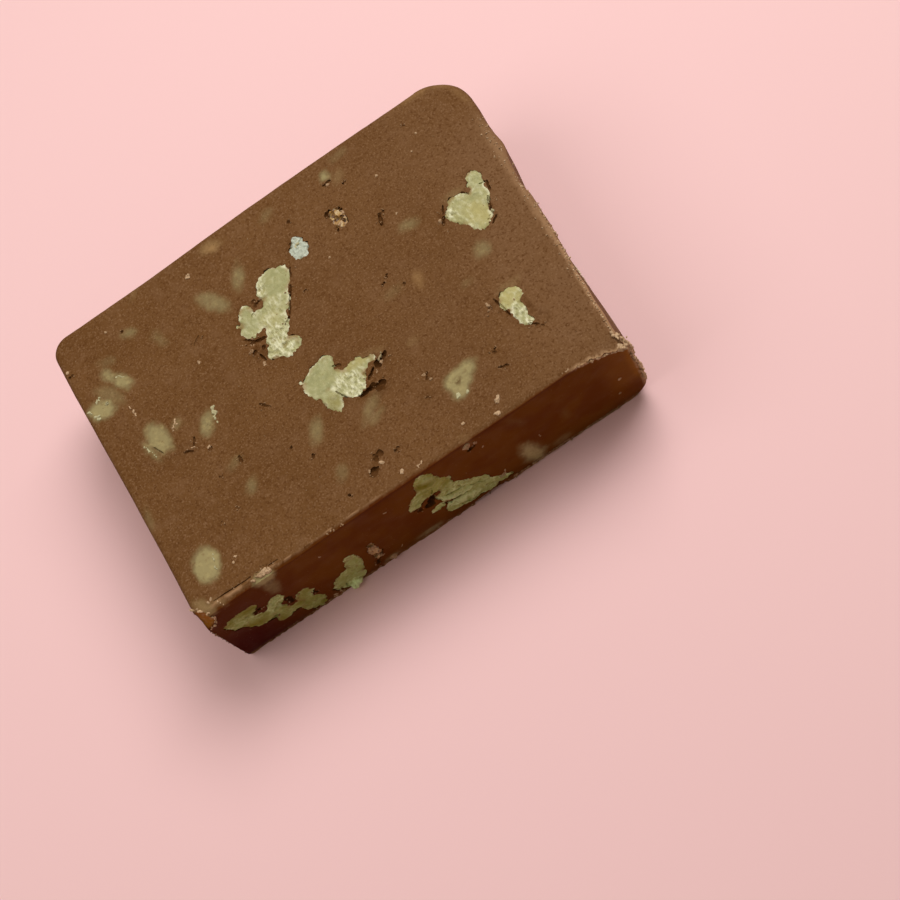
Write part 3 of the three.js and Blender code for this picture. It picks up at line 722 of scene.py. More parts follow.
@dataclass(frozen=True)
class FudgeFinish:
    """Milk chocolate fudge: satin on its cast faces, darker and smoother where it was cut."""

    cast: Colour = (0.156, 0.071, 0.023)
    cast_dark: Colour = (0.134, 0.058, 0.017)
    # the paler colour of the bloom, and of the painted sheen on the top
    cast_bloom_and_sheen: Colour = (0.194, 0.099, 0.044)
    grain_dark: Colour = (0.098, 0.037, 0.009)
    grain_light: Colour = (0.240, 0.130, 0.062)
    cut: Colour = (0.138, 0.043, 0.001)
    cut_dark: Colour = (0.116, 0.030, 0.0005)
    # painted shade for the cut face's left corner and under its top edge
    cut_painted_shade: Colour = (0.058, 0.005, 0.001)
    cut_warm: Colour = (0.270, 0.105, 0.008)
    # broken fudge, which also serves as painted shade inside the pits and pockets
    broken: Colour = (0.095, 0.038, 0.010)
    chip: Colour = (0.310, 0.120, 0.014)
    lip: Colour = (0.385, 0.222, 0.115)
    crust: Colour = (0.430, 0.265, 0.140)
    pecan_below: Colour = (0.282, 0.234, 0.111)
    pecan_bright: Colour = (0.408, 0.336, 0.152)
    toffee_below: Colour = (0.340, 0.195, 0.080)
    # brown pecan skin, and the painted shade round the bare nuts
    skin: Colour = (0.080, 0.030, 0.006)
    fleck: Colour = (0.300, 0.175, 0.100)
    pore: Colour = (0.080, 0.030, 0.008)
    gloss: float = 0.03

    def _cast_face(self, nodes: Nodes) -> Socket:
        """Colour the cast faces: cloudy, bloomed and grainy, with a painted sheen.

        Args:
            nodes: The material's nodes.

        Returns:
            The colour.
        """
        cloud = nodes.window(nodes.noise(14.0, 3.0), 0.3, 0.7)
        bloom_and_sheen = nodes.window(nodes.noise(4.0, 5.0), 0.48, 0.8, 0.35)
        grain_dark = nodes.window(nodes.noise(0.36, 4.0), 0.47, 0.72, 0.85)
        grain_light = nodes.window(nodes.noise(0.27, 4.0), 0.48, 0.75, 0.85)
        patches = nodes.window(nodes.noise(2.2, 4.0), 0.52, 0.75, 0.4)
        colour = nodes.mixed(cloud, self.cast_dark, self.cast)
        colour = nodes.mixed(bloom_and_sheen, colour, self.cast_bloom_and_sheen)
        # Painted sheen: the top is lighter towards its right end.
        colour = nodes.mixed(nodes.attribute("bloom_and_sheen"), colour, self.cast_bloom_and_sheen)
        colour = nodes.mixed(grain_dark, colour, self.grain_dark)
        colour = nodes.mixed(grain_light, colour, self.grain_light)
        return nodes.mixed(patches, colour, self.cast_bloom_and_sheen)

    def _cut_face(self, nodes: Nodes) -> Socket:
        """Colour the cut face: painted shade in the corner and under the edge, warmer at its right end.

        Args:
            nodes: The material's nodes.

        Returns:
            The colour.
        """
        cloud = nodes.window(nodes.noise(6.0, 3.0), 0.38, 0.65)
        colour = nodes.mixed(cloud, self.cut, self.cut_dark)
        # Painted shade: the cut face is darker in its left corner and under its top edge.
        colour = nodes.mixed(nodes.attribute("cut_painted_shade"), colour, self.cut_painted_shade)
        return nodes.mixed(nodes.attribute("cut_warm"), colour, self.cut_warm)

    def _covered(self, nodes: Nodes, colour: Socket) -> Socket:
        """Let the nuts, the toffee and the brown skin under the surface show through, with painted shade
        round the bare nuts.

        Args:
            nodes: The material's nodes.
            colour: The fudge's colour.

        Returns:
            The colour with the covered pieces in it.
        """
        bright = nodes.window(nodes.noise(0.7, 5.0), 0.45, 0.72, 0.8)
        core = nodes.window(nodes.attribute("pecan_below"), 0.7, 1.0, 0.55)
        mottled = nodes.window(nodes.noise(0.6, 5.0), 0.0, 0.5)
        blotch = nodes.window(nodes.noise(0.8, 4.0), 0.35, 0.6)
        pecan = nodes.mixed(bright, self.pecan_below, self.pecan_bright)
        pecan = nodes.mixed(core, pecan, self.pecan_bright)
        colour = nodes.mixed(nodes.times(nodes.attribute("pecan_below"), mottled), colour, pecan)
        toffee = nodes.times(nodes.attribute("toffee_below"), mottled)
        colour = nodes.mixed(toffee, colour, self.toffee_below)
        # Brown skin under the surface, and painted shade in the gaps round the bare nuts.
        return nodes.mixed(nodes.times(nodes.attribute("skin_and_shade_below"), blotch), colour, self.skin)

    def _broken(self, nodes: Nodes, colour: Socket) -> Socket:
        """Colour the broken fudge, which is darkened by painted shade in the pits and pockets, the chip, the
        lips and the dried crust.

        Args:
            nodes: The material's nodes.
            colour: The colour of the unbroken fudge.

        Returns:
            The colour with the broken parts in it.
        """
        crumbled = nodes.times(nodes.attribute("chip"), nodes.window(nodes.noise(0.8, 4.0), 0.5, 0.66, 0.4))
        ragged = nodes.times(nodes.attribute("crust"), nodes.window(nodes.noise(0.5, 3.0), 0.3, 0.55))
        # Broken fudge in the pits and pockets: partly its own colour, partly painted shade.
        colour = nodes.mixed(nodes.attribute("broken"), colour, self.broken)
        colour = nodes.mixed(nodes.attribute("chip"), colour, self.chip)
        colour = nodes.mixed(nodes.attribute("lip"), colour, self.lip)
        colour = nodes.mixed(crumbled, colour, self.lip)
        return nodes.mixed(ragged, colour, self.crust)

    def material(self) -> bpy.types.Material:
        """Build the material, which reads what the block's mesh has painted on it.

        Returns:
            The material.
        """
        nodes = Nodes("fudge")
        flecks = nodes.window(nodes.noise(0.3, 1.0), 0.74, 0.80, 0.5)
        pores = nodes.window(nodes.noise(0.33, 1.0, (1.0, 1.3, 1.0)), 0.73, 0.79, 0.6)
        colour = nodes.mixed(nodes.attribute("cut"), self._cast_face(nodes), self._cut_face(nodes))
        colour = self._covered(nodes, colour)
        colour = nodes.mixed(flecks, colour, self.fleck)
        colour = nodes.mixed(pores, colour, self.pore)
        nodes.link(self._broken(nodes, colour), nodes.shader.inputs["Base Color"])
        nodes.link(nodes.window(nodes.noise(2.5, 4.0), -0.6, 1.0, 0.8), nodes.shader.inputs["Roughness"])
        nodes.shader.inputs["Specular IOR Level"].default_value = self.gloss
        nodes.raise_by(nodes.noise(0.9, 4.0), 0.06, 0.5)
        nodes.raise_by(nodes.noise(0.22, 3.0), 0.03, 0.5)
        return nodes.material


@dataclass(frozen=True)
class PecanFinish:
    """Pale pecan flesh, feathery and whitish where it broke, brown with painted shade where it is deep, with
    painted shade in its hollows and a painted highlight on its bumps.
    """

    sage: Colour = (0.385, 0.372, 0.180)
    sage_dark: Colour = (0.335, 0.328, 0.152)
    yellow: Colour = (0.460, 0.402, 0.160)
    torn_dark: Colour = (0.410, 0.395, 0.195)
    torn_pale: Colour = (0.560, 0.545, 0.320)
    white_and_highlight: Colour = (0.780, 0.765, 0.530)
    cool: Colour = (0.500, 0.560, 0.500)
    # stains, and the painted shade in the nut's hollows and creases
    stain_and_shade: Colour = (0.240, 0.185, 0.060)
    veil: Colour = (0.270, 0.165, 0.060)
    smear: Colour = (0.180, 0.134, 0.010)
    # the brown of the painted shade where a piece lies deep in its pocket's gap
    skin: Colour = (0.100, 0.042, 0.010)
    # painted light: the colour of the light in the cut face's shade, laid over its pieces
    shade_light_tint: Colour = (1.06, 1.30, 1.00)  # a tint over the pieces in the cut face
    rough: float = 0.7
    gloss: float = 0.08

    def material(self) -> bpy.types.Material:
        """Build the material, which reads what each piece's mesh has painted on it.

        Returns:
            The material.
        """
        nodes = Nodes("pecan")
        smooth = nodes.mixed(nodes.window(nodes.noise(0.8, 5.0), 0.40, 0.64), self.sage_dark, self.sage)
        smooth = nodes.mixed(nodes.window(nodes.noise(0.55, 4.0), 0.55, 0.75, 0.45), smooth, self.torn_pale)
        smooth = nodes.mixed(nodes.attribute("yellow"), smooth, self.yellow)
        fibre = nodes.noise(0.5, 5.0, (1.0, 0.45, 1.0))
        torn = nodes.mixed(nodes.window(fibre, 0.40, 0.52), self.torn_dark, self.torn_pale)
        torn = nodes.mixed(nodes.window(fibre, 0.52, 0.64), torn, self.white_and_highlight)
        between = nodes.times(nodes.attribute("yellow"), nodes.window(fibre, 0.7, 0.4))
        torn = nodes.mixed(between, torn, self.yellow)
        colour = nodes.mixed(nodes.attribute("torn"), smooth, torn)
        # White torn fringes, and a painted highlight on the high bumps.
        colour = nodes.mixed(nodes.attribute("white_and_highlight"), colour, self.white_and_highlight)
        colour = nodes.mixed(nodes.attribute("cool"), colour, self.cool)
        colour = nodes.mixed(nodes.window(nodes.noise(0.4, 4.0), 0.58, 0.76, 0.5), colour, self.stain_and_shade)
        colour = nodes.mixed(nodes.attribute("smear"), colour, self.smear)
        # Painted light: the pieces in the cut face take the greener tint of the light in its shade.
        colour = nodes.mixed(nodes.attribute("shade_light_tint"), colour, self.shade_light_tint, "MULTIPLY")
        colour = nodes.mixed(nodes.attribute("veil"), colour, self.veil)
        # Painted shade in the low bumps and creases, and brown skin at the rim.
        colour = nodes.mixed(nodes.attribute("cavity_shade_and_skin"), colour, self.stain_and_shade)
        # Painted shade where the piece lies deep in its pocket's gap.
        colour = nodes.mixed(nodes.attribute("deep"), colour, self.skin)
        nodes.link(colour, nodes.shader.inputs["Base Color"])
        nodes.shader.inputs["Roughness"].default_value = self.rough
        nodes.shader.inputs["Specular IOR Level"].default_value = self.gloss
        nodes.raise_by(nodes.times(nodes.attribute("torn"), fibre), 0.30, 0.9)
        nodes.raise_by(nodes.noise(0.3, 4.0), 0.06, 0.6)
        return nodes.material


@dataclass(frozen=True)
class ToffeeFinish:
    """Broken butter toffee, tan and slightly shiny."""

    tan: Colour = (0.360, 0.190, 0.048)
    pale: Colour = (0.520, 0.360, 0.150)
    brown: Colour = (0.110, 0.045, 0.012)
    rough: float = 0.42

    def material(self) -> bpy.types.Material:
        """Build the material, which reads what each piece's mesh has painted on it.

        Returns:
            The material.
        """
        nodes = Nodes("toffee")
        colour = nodes.mixed(nodes.window(nodes.noise(0.7, 4.0), 0.45, 0.62), self.tan, self.pale)
        colour = nodes.mixed(nodes.window(nodes.noise(0.6, 3.0), 0.54, 0.66), colour, self.brown)
        # Painted shade in the low bumps, the creases and at the rim, and deep in the pocket's gap.
        colour = nodes.mixed(nodes.attribute("cavity_shade_and_skin"), colour, self.brown)
        colour = nodes.mixed(nodes.attribute("deep"), colour, self.brown)
        nodes.link(colour, nodes.shader.inputs["Base Color"])
        nodes.shader.inputs["Roughness"].default_value = self.rough
        nodes.raise_by(nodes.noise(0.4, 4.0), 0.08, 0.6)
        return nodes.material


@dataclass(frozen=True)
class CrumbFinish:
    """Crumbs of dried fudge, some of them pale with sugar."""

    brown: Colour = (0.175, 0.082, 0.028)
    tan: Colour = (0.290, 0.165, 0.080)
    pale: Colour = (0.560, 0.385, 0.230)
    nut: Colour = (0.520, 0.490, 0.290)
    rough: float = 0.7
    gloss: float = 0.1

    def material(self) -> bpy.types.Material:
        """Build the material, which reads how pale each crumb is, and whether it is nut.

        Returns:
            The material.
        """
        nodes = Nodes("crumbs")
        colour = nodes.mixed(nodes.window(nodes.noise(0.6, 3.0), 0.4, 0.65), self.brown, self.tan)
        colour = nodes.mixed(nodes.attribute("pale"), colour, self.pale)
        colour = nodes.mixed(nodes.attribute("nut"), colour, self.nut)
        nodes.link(colour, nodes.shader.inputs["Base Color"])
        nodes.shader.inputs["Roughness"].default_value = self.rough
        nodes.shader.inputs["Specular IOR Level"].default_value = self.gloss
        nodes.raise_by(nodes.noise(0.2, 3.0), 0.03, 0.5)
        return nodes.material


@dataclass(frozen=True)
class FloorFinish:
    """A plain pale floor."""

    colour: Colour = (0.940, 0.620, 0.625)
    rough: float = 0.8
    gloss: float = 0.2

    def material(self) -> bpy.types.Material:
        """Build the plain material.

        Returns:
            The material.
        """
        nodes = Nodes("floor")
        nodes.shader.inputs["Base Color"].default_value = (*self.colour, 1.0)
        nodes.shader.inputs["Roughness"].default_value = self.rough
        nodes.shader.inputs["Specular IOR Level"].default_value = self.gloss
        return nodes.material


# ------------------------------------------------------------------ the block


@dataclass(frozen=True)
class Relief:
    """The block's vertices before they get their relief, with noise from broad to crumb size."""

    flat: Array
    normals: Array
    broad: Array
    middling: Array
    fine: Array
    ragged: Array


@dataclass
class Block:
    """The fudge itself, without its pieces.

    It starts as a fine grid over a box, which is drawn onto the block's rounded outline and
    given its relief. Pockets and pits are then cut into it.
    """

    front_length: float = 72.0
    back_length: float = 74.2
    left_depth: float = 52.4
    right_depth: float = 53.2
    height: float = 20.7
    left_corner: float = 3.0
    right_corner: float = 6.5
    edge_round: float = 0.9
    worn_round: float = 3.8  # radius of the worn base edge under the right wall
    knife_waste: float = 5.0
    columns: int = 190
    rows: int = 136
    levels: int = 30
    crowding: float = 0.32  # how much denser the grid is near the edges
    wander: float = 0.22
    insets: tuple[tuple[float, float], ...] = (  # how far in the top of the right wall is, by its y
        (0.0, 0.74), (3.0, 0.82), (6.0, 0.66), (9.0, 0.55), (12.0, 0.46), (15.0, 0.30), (18.0, 0.08),
        (22.0, -0.04), (25.0, 0.02), (27.5, 0.2), (30.0, 0.56), (33.0, 0.50), (36.0, 0.16), (42.0, 0.10),
        (46.0, 0.0),
    )
    swell_out: float = 0.35  # the right wall swells this far out at this y, below this z
    swell_at: float = 36.8
    swell_half: float = 2.0
    swell_top: float = 19.9
    lip_from: float = 63.0  # the torn lip over the right end of the cut face starts at this x
    lip_full: float = 65.0  # and is whole from this one on
    lip_thick: float = 0.5
    lip_out: float = 1.45  # how far it stands out at its tip
    lip_fall: float = 0.57
    burr_at: float = 0.45  # the y of the fine ridge behind the cut, and how far back it starts
    burr_back: float = 0.43
    groove_at: float = 1.35  # the y of the groove behind that ridge
    groove_half: float = 0.20
    groove_deep: float = 0.12
    rim_wide: float = 1.3  # how wide the lip along the right side is, and how much wider further back
    rim_more: float = 0.4
    chip_middle: Place = (-0.4, -0.9, 19.8)  # of the ball that breaks the front left corner off
    chip_half: Place = (2.6, 2.7, 3.8)
    foot_middle: Place = (43.8, 0.0, 0.0)  # of the ball that undercuts the foot of the cut face
    foot_half: Place = (3.0, 2.6, 1.1)
    film_deep: float = 0.4  # what lies deeper than this under the first surface isn't on a face
    # painted shade: the gap round a bare nut darkens the fudge this much
    stain_and_shade: float = 0.65  # how brown the fudge is round a bare nut
    mesh: Mesh = field(init=False)
    skin: BVHTree = field(init=False)

    # -------------------------------------------------------------- places on the block

    def origin(self, face: Face) -> Vector:
        """Give the corner that a face's u and v are measured from.

        Args:
            face: The face.

        Returns:
            The corner.
        """
        return {
            Face.TOP: Vector((0, 0, self.height)),
            Face.FRONT: Vector((0, 0, 0)),
            Face.RIGHT: Vector(((self.front_length + self.back_length) / 2, 0, 0)),
            Face.BACK: Vector((self.front_length, (self.left_depth + self.right_depth) / 2, 0)),
            Face.LEFT: Vector((0, self.left_depth, 0)),
            Face.BASE: Vector((0, self.right_depth, 0)),
        }[face]

    def placing(self, face: Face) -> Matrix:
        """Give the matrix from a face's own u, v and outward axes to the block's."""
        axes = Matrix((face.u, face.v, face.outward)).transposed()
        return Matrix.Translation(self.origin(face)) @ axes.to_4x4()

    def on_face(self, face: Face, points: Array) -> tuple[Array, Array]:
        """Measure points along a face's u and v axes."""
        away = points - np.array(self.origin(face))
        return away @ np.array(face.u), away @ np.array(face.v)

    def right_wall(self, y: Array) -> Array:
        """Give the x of the right wall, some way back from the cut face."""
        run = (y + self.knife_waste) / (self.right_depth - self.right_corner + self.knife_waste)
        return self.front_length + (self.back_length - self.front_length) * np.clip(run, 0.0, 1.0)

    def back_wall(self, x: Array) -> Array:
        """Give the y of the back wall, some way along the block."""
        return self.left_depth + (self.right_depth - self.left_depth) * x / self.back_length

    # -------------------------------------------------------------- making the grid

    def _grid(self) -> Mesh:
        """Make a closed box of fine squares, one unit each way, with a coarser base.

        Returns:
            The box's mesh.
        """
        bm = bmesh.new()
        bmesh.ops.create_grid(bm, x_segments=self.columns, y_segments=self.rows, size=0.5)
        bmesh.ops.translate(bm, vec=(0.5, 0.5, 1.0), verts=bm.verts)
        rim = [e for e in bm.edges if e.is_boundary]
        for _ in range(self.levels):
            grown = bmesh.ops.extrude_edge_only(bm, edges=rim)["geom"]
            ring = [g for g in grown if isinstance(g, bmesh.types.BMVert)]
            bmesh.ops.translate(bm, vec=(0, 0, -1.0 / self.levels), verts=ring)
            rim = [g for g in grown if isinstance(g, bmesh.types.BMEdge) and g.is_boundary]
        halved = {"x_segments": self.columns // 2, "y_segments": self.rows // 2}
        base = bmesh.ops.create_grid(bm, **halved, size=0.5)["verts"]
        bmesh.ops.scale(bm, vec=(1.0 - 1.0 / self.columns, 1.0 - 1.0 / self.rows, 1.0), verts=base)
        bmesh.ops.translate(bm, vec=(0.5, 0.5, 0.0), verts=base)
        inner = [e for v in base for e in v.link_edges if e.is_boundary]
        bmesh.ops.bridge_loops(bm, edges=rim + list(dict.fromkeys(inner)))
        bmesh.ops.recalc_face_normals(bm, faces=bm.faces[:])
        return mesh_from(bm, "fudge")

    def _round_corner(self, points: Array, centre: tuple[float, float], radius: float, side: int) -> None:
        """Draw the square corner of the grid onto an arc, in place.

        Args:
            points: The grid's points.
            centre: The arc's centre in plan.
            radius: The arc's radius.
            side: 1 where the corner points to +X, and -1 to -X.
        """
        across = np.clip(side * (points[:, 0] - centre[0]) / radius, 0.0, None)
        along = np.clip((points[:, 1] - centre[1]) / radius, 0.0, None)
        inside = (across > 0) & (along > 0)
        share = np.ones(len(points))
        share[inside] = np.maximum(across, along)[inside] / np.hypot(across, along)[inside]
        points[inside, 0] = centre[0] + side * (across * share)[inside] * radius
        points[inside, 1] = centre[1] + (along * share)[inside] * radius

    def _to_wall(self, points: Array) -> tuple[Array, Array]:
        """Find the nearest cast wall.

        Args:
            points: Points in or on the block.

        Returns:
            How far each is inside the wall, and the wall's outward direction there.
        """
        x, y = points[:, 0], points[:, 1]
        gaps = np.stack([x, self.right_wall(y) - x, self.back_wall(x) - y])
        nearest = gaps.argmin(axis=0)
        gap = gaps.min(axis=0)
        outward = np.array([(-1.0, 0.0), (1.0, 0.0), (0.0, 1.0)])[nearest]
        left, right = self.left_corner, self.right_corner
        corners = (
            (left, self.left_depth - left, left, -1),
            (self.back_length - right, self.right_depth - right, right, 1),
        )
        for cx, cy, radius, side in corners:
            inside = (side * (x - cx) > 0) & (y > cy)
            away = np.stack([x - cx, y - cy], axis=1)[inside]
            far = np.maximum(np.hypot(away[:, 0], away[:, 1]), 1e-6)
            gap[inside] = radius - far
            outward[inside] = away / far[:, None]
        return gap, outward

    def _round_edges(self, points: Array) -> None:
        """Round the cast edges at the top and at the base.

        Args:
            points: The grid's points, which are moved.
        """
        gap, outward = self._to_wall(points)
        for level, sign in ((self.height, 1.0), (0.0, -1.0)):
            radius = np.full(len(points), self.edge_round)
            if sign < 0:
                worn = ramp(0.6, 0.95, outward[:, 0]) * ramp(42.0, 34.0, points[:, 1])
                radius += (self.worn_round - self.edge_round) * worn
            near = np.clip(1.0 - gap / radius, 0.0, 1.0)
            rise = np.clip(1.0 - sign * (level - points[:, 2]) / radius, 0.0, 1.0)
            both = (near > 0) & (rise > 0)
            share = np.ones(len(points))
            share[both] = np.maximum(near, rise)[both] / np.hypot(near, rise)[both]
            inward = (near * (1.0 - share) * radius)[:, None] * outward
            points[:, :2] -= inward * both[:, None]
            points[:, 2] -= sign * rise * (1.0 - share) * radius * both

    def _wander_walls(self, points: Array) -> None:
        """Let the cast walls wander, and dent and swell the right one.

        Args:
            points: The grid's points, which are moved.
        """
        x, y, z = points.T.copy()
        lean = self.wander * np.sin(y / 7 + z / 9) * np.where(x > self.front_length / 2, 1.0, -0.4)
        sway = self.wander * np.sin(x / 9 + z / 6) * np.where(y > self.left_depth / 2, 0.7, 0.0)
        swell = self.swell_out * np.exp(-(((y - self.swell_at) / self.swell_half) ** 2))
        swell *= ramp(self.height, self.swell_top, z)
        points[:, 0] += lean * ramp(10.0, 2.0, self._to_wall(points)[0])
        at_right = ramp(self.front_length - 2.0, self.front_length - 0.5, x)
        points[:, 0] += swell * at_right
        places, depths = zip(*self.insets)
        dents = np.interp(y, places, depths) + 0.04 * np.sin(y / 0.9)
        points[:, 0] -= dents * ramp(12.0, 19.0, z) * at_right
        points[:, 1] += sway * ramp(10.0, 2.0, self._to_wall(points)[0])

    # -------------------------------------------------------------- relief

    def _score(self, face: Face, points: Array) -> Array:
        """Work out how deep the scratches and cracks in a face are.

        Args:
            face: The face.
            points: The points to look at.

        Returns:
            The depth at each point.
        """
        u, v = self.on_face(face, points)
        depth = np.zeros(len(points))
        for score in SCORES.get(face, ()):
            run = np.array(score.end) - np.array(score.start)
            length = float(np.hypot(*run))
            along = ((u - score.start[0]) * run[0] + (v - score.start[1]) * run[1]) / length
            across = ((v - score.start[1]) * run[0] - (u - score.start[0]) * run[1]) / length
            ends = np.clip(along, 0.0, length)
            away = np.hypot(across, along - ends) / score.width
            depth += score.depth * np.exp(-(away**2))
        return depth

    def overhang(self, x: Array) -> Array:
        """Give how far the torn lip at the right end stands out over the cut face.

        Args:
            x: Places along the cut face.

        Returns:
            How far it stands out at each.
        """
        ragged = 0.10 * np.sin(2.9 * x) + 0.07 * np.sin(6.1 * x + 1.0)
        start = self.lip_from + 1.0
        share = np.clip((x - start) / (self.front_length - start), 0.0, 1.0)
        return self.lip_out * share**1.7 + ragged * ramp(self.lip_from, self.lip_full, x)

    def fall(self, x: Array) -> Array:
        """Give how far the lip at the right end hangs down."""
        return self.lip_fall * np.clip(self.overhang(x), 0.0, None) ** 1.5

    def _bend(self, points: Array) -> None:
        """Draw the top out into a lip over the right end of the cut face.

        Args:
            points: The grid's points, which are moved.
        """
        x, y, z = points.T.copy()
        out, fall = self.overhang(x), self.fall(x)
        under = self.height - self.lip_thick
        on_top = (z > under) * np.clip(1.0 - y / 3.0, 0.0, 1.0) ** 2
        below = (z <= under) * (y < 0.3) * np.clip(1.0 - (under - z) / 1.2, 0.0, 1.0)
        share = np.maximum(on_top, below) * (x > self.lip_from - 1.0)
        points[:, 1] -= out * share
        points[:, 2] -= fall * share

    def _burr(self, points: Array) -> Array:
        """Give the strength of the fine ridge that runs along the top, just behind the cut.

        Args:
            points: The points to look at.

        Returns:
            The strength at each point, 0 to 1.
        """
        x, y, z = points.T
        line = self.burr_at + self.burr_back * ramp(16.0, 12.0, x) + 0.04 * np.sin(x * 1.7)
        wide = 0.10 + 0.16 * ramp(15.0, 9.0, x)
        reach = ramp(2.0, 4.0, x) * ramp(38.0, 26.0, x)
        return np.exp(-(((y - line) / wide) ** 2)) * reach * (z > self.height - 1.0)

    def _relieve(self, mesh: Mesh, points: Array) -> None:
        """Give every face its unevenness, and the edges their lips.

        Args:
            mesh: The block's mesh, which gives the normals.
            points: The mesh's vertices, which are moved.
        """
        relief = Relief(
            points.copy(), normals_of(mesh), noise_at(points, 12.0, 1), noise_at(points, 3.1, 2),
            noise_at(points, 0.9, 3), noise_at(points, 0.5, 4),
        )
        swing = 0.10 * relief.broad + 0.03 * relief.middling + 0.012 * relief.fine
        on_base = ramp(-0.5, -0.9, relief.normals[:, 2]) > 0.5
        swing[on_base] = np.minimum(0.3 * swing, 0.0)[on_base]
        points += relief.normals * swing[:, None]
        self._relieve_top(points, relief)
        self._relieve_rim(points, relief)
        self._relieve_cut(points, relief)
        points[:, 2] = np.maximum(points[:, 2], 0.0)

    def _relieve_top(self, points: Array, relief: Relief) -> None:
        """Scratch the top, round it towards the cut, and make the fine ridge and the groove there.

        Args:
            points: The block's vertices, which are moved.
            relief: The vertices as they were, with their noise.
        """
        x, y, z = relief.flat.T
        on_top = ramp(0.5, 0.9, relief.normals[:, 2])
        points[:, 2] -= on_top * self._score(Face.TOP, relief.flat)
        roll = ramp(0.9, 0.0, y) ** 1.5 * ramp(self.lip_full, self.lip_full - 4.0, x)
        roll *= 1.0 - 0.35 * ramp(18.0, 30.0, x)
        near_top = ramp(self.height - 1.5, self.height - 0.2, z)
        points[:, 2] -= (0.34 + 0.10 * relief.middling) * roll * near_top
        points[:, 2] += on_top * self._burr(relief.flat) * (0.12 + 0.10 * relief.ragged)
        groove = np.exp(-(((y - self.groove_at) / self.groove_half) ** 2))
        groove *= ramp(2.5, 4.0, x) * ramp(14.0, 12.0, x)
        points[:, 2] -= self.groove_deep * on_top * groove

    def _relieve_rim(self, points: Array, relief: Relief) -> None:
        """Make the lip along the right side, a smooth bead in front and crumbly further back.

        Args:
            points: The block's vertices, which are moved.
            relief: The vertices as they were, with their noise.
        """
        x, y, z = relief.flat.T
        gap, _ = self._to_wall(relief.flat)
        wide = self.rim_wide + self.rim_more * ramp(14.0, 24.0, y)
        at_lip = ramp(wide, 0.4 * wide, gap) * ramp(48.0, 38.0, y) * (x > self.front_length / 2)
        at_lip *= ramp(self.height - 1.2, self.height - 0.5, z)
        crumbly = ramp(12.0, 20.0, y)
        bead = 0.16 + 0.04 * relief.middling - 0.08 * crumbly
        bead += (0.3 + 0.7 * crumbly) * (0.08 * relief.fine + 0.12 * np.abs(relief.ragged))
        points[:, 2] += at_lip * bead * ramp(0.0, 0.4, gap)
        points += relief.normals * (0.5 * at_lip * bead)[:, None]

    def _relieve_cut(self, points: Array, relief: Relief) -> None:
        """Roughen the torn lip, the right end and the foot of the cut face, and drag the knife over it.

        Args:
            points: The block's vertices, which are moved.
            relief: The vertices as they were, with their noise.
        """
        x, y, z = relief.flat.T
        rough = ramp(self.lip_from, self.lip_full, x) * ramp(1.2, 0.2, y + self.overhang(x))
        rough *= z > self.height - self.fall(x) - self.lip_thick
        jags = 0.14 * relief.fine + 0.20 * np.abs(relief.ragged)
        points += relief.normals * (rough * jags)[:, None]
        on_front = ramp(0.7, 0.2, y) * ramp(-0.5, -0.9, relief.normals[:, 1])
        end = on_front * ramp(self.front_length - 0.9, self.front_length - 0.1, x)
        points[:, 1] -= end * (0.05 + 0.30 * np.abs(relief.ragged))
        drag = noise_at(relief.flat * np.array((0.12, 1.0, 1.0)), 0.9, 7)
        points[:, 1] += on_front * 0.05 * drag
        foot = on_front * ramp(1.3, 0.2, z)
        points[:, 1] += foot * (0.18 + 0.40 * relief.ragged)

    # -------------------------------------------------------------- cutting

    def stone(self, place: Matrix, grain: float, rough: float, seed: int, fine: int = 3) -> Mesh:
        """Make a rough closed lump to cut with.

        Args:
            place: The matrix from a unit ball to the lump.
            grain: The size of its dents, in millimetres.
            rough: How deep they are, in millimetres.
            seed: Which of many roughnesses to use.
            fine: How often the ball is divided.

        Returns:
            The lump.
        """
        bm = bmesh.new()
        bmesh.ops.create_icosphere(bm, subdivisions=fine, radius=1.0, matrix=place)
        mesh = mesh_from(bm, "stone")
        points = grid_of(mesh)
        dents = noise_at(points, grain, seed) * 1.6 + noise_at(points, grain * 0.4, seed) * 0.7
        set_grid(mesh, points + normals_of(mesh) * (dents * rough)[:, None])
        return mesh

    def hollows(self, face: Face, pit: Pit, seed: int) -> list[Mesh]:
        """Make the ragged solids that cut one pit.

        Args:
            face: The face that the pit is in.
            pit: The pit.
            seed: Which of many roughnesses to use.

        Returns:
            The solids, which overlap along the pit.
        """
        lobe = pit.lobe
        draw = random.Random(seed)
        slim = lobe.half_length / lobe.half_width
        parts = 1 if slim < 1.7 else 2 if slim < 4.0 else 3
        place = Matrix.Translation((lobe.u, lobe.v, 0)) @ Matrix.Rotation(math.radians(lobe.angle), 4, "Z")
        solids = []
        for part in range(parts):
            along = lobe.half_length * (0.0 if parts == 1 else 0.5 * (2.0 * part / (parts - 1) - 1.0))
            across = lobe.half_width * draw.uniform(-0.35, 0.35) * (parts > 1)
            half = lobe.half_length * (1.0 if parts == 1 else 0.56) * draw.uniform(0.85, 1.15)
            wide = lobe.half_width * draw.uniform(0.9, 1.4)
            size = Matrix.Diagonal((half, wide, pit.depth * draw.uniform(0.5, 0.8), 1.0))
            middle = place @ Matrix.Translation((along, across, 0)) @ size
            rough = 0.26 * lobe.half_width + 0.02
            fine = 3 if half > 0.5 else 2
            solids.append(self.stone(self.placing(face) @ middle, 0.2 + 0.6 * wide, rough, seed + part, fine))
        return solids

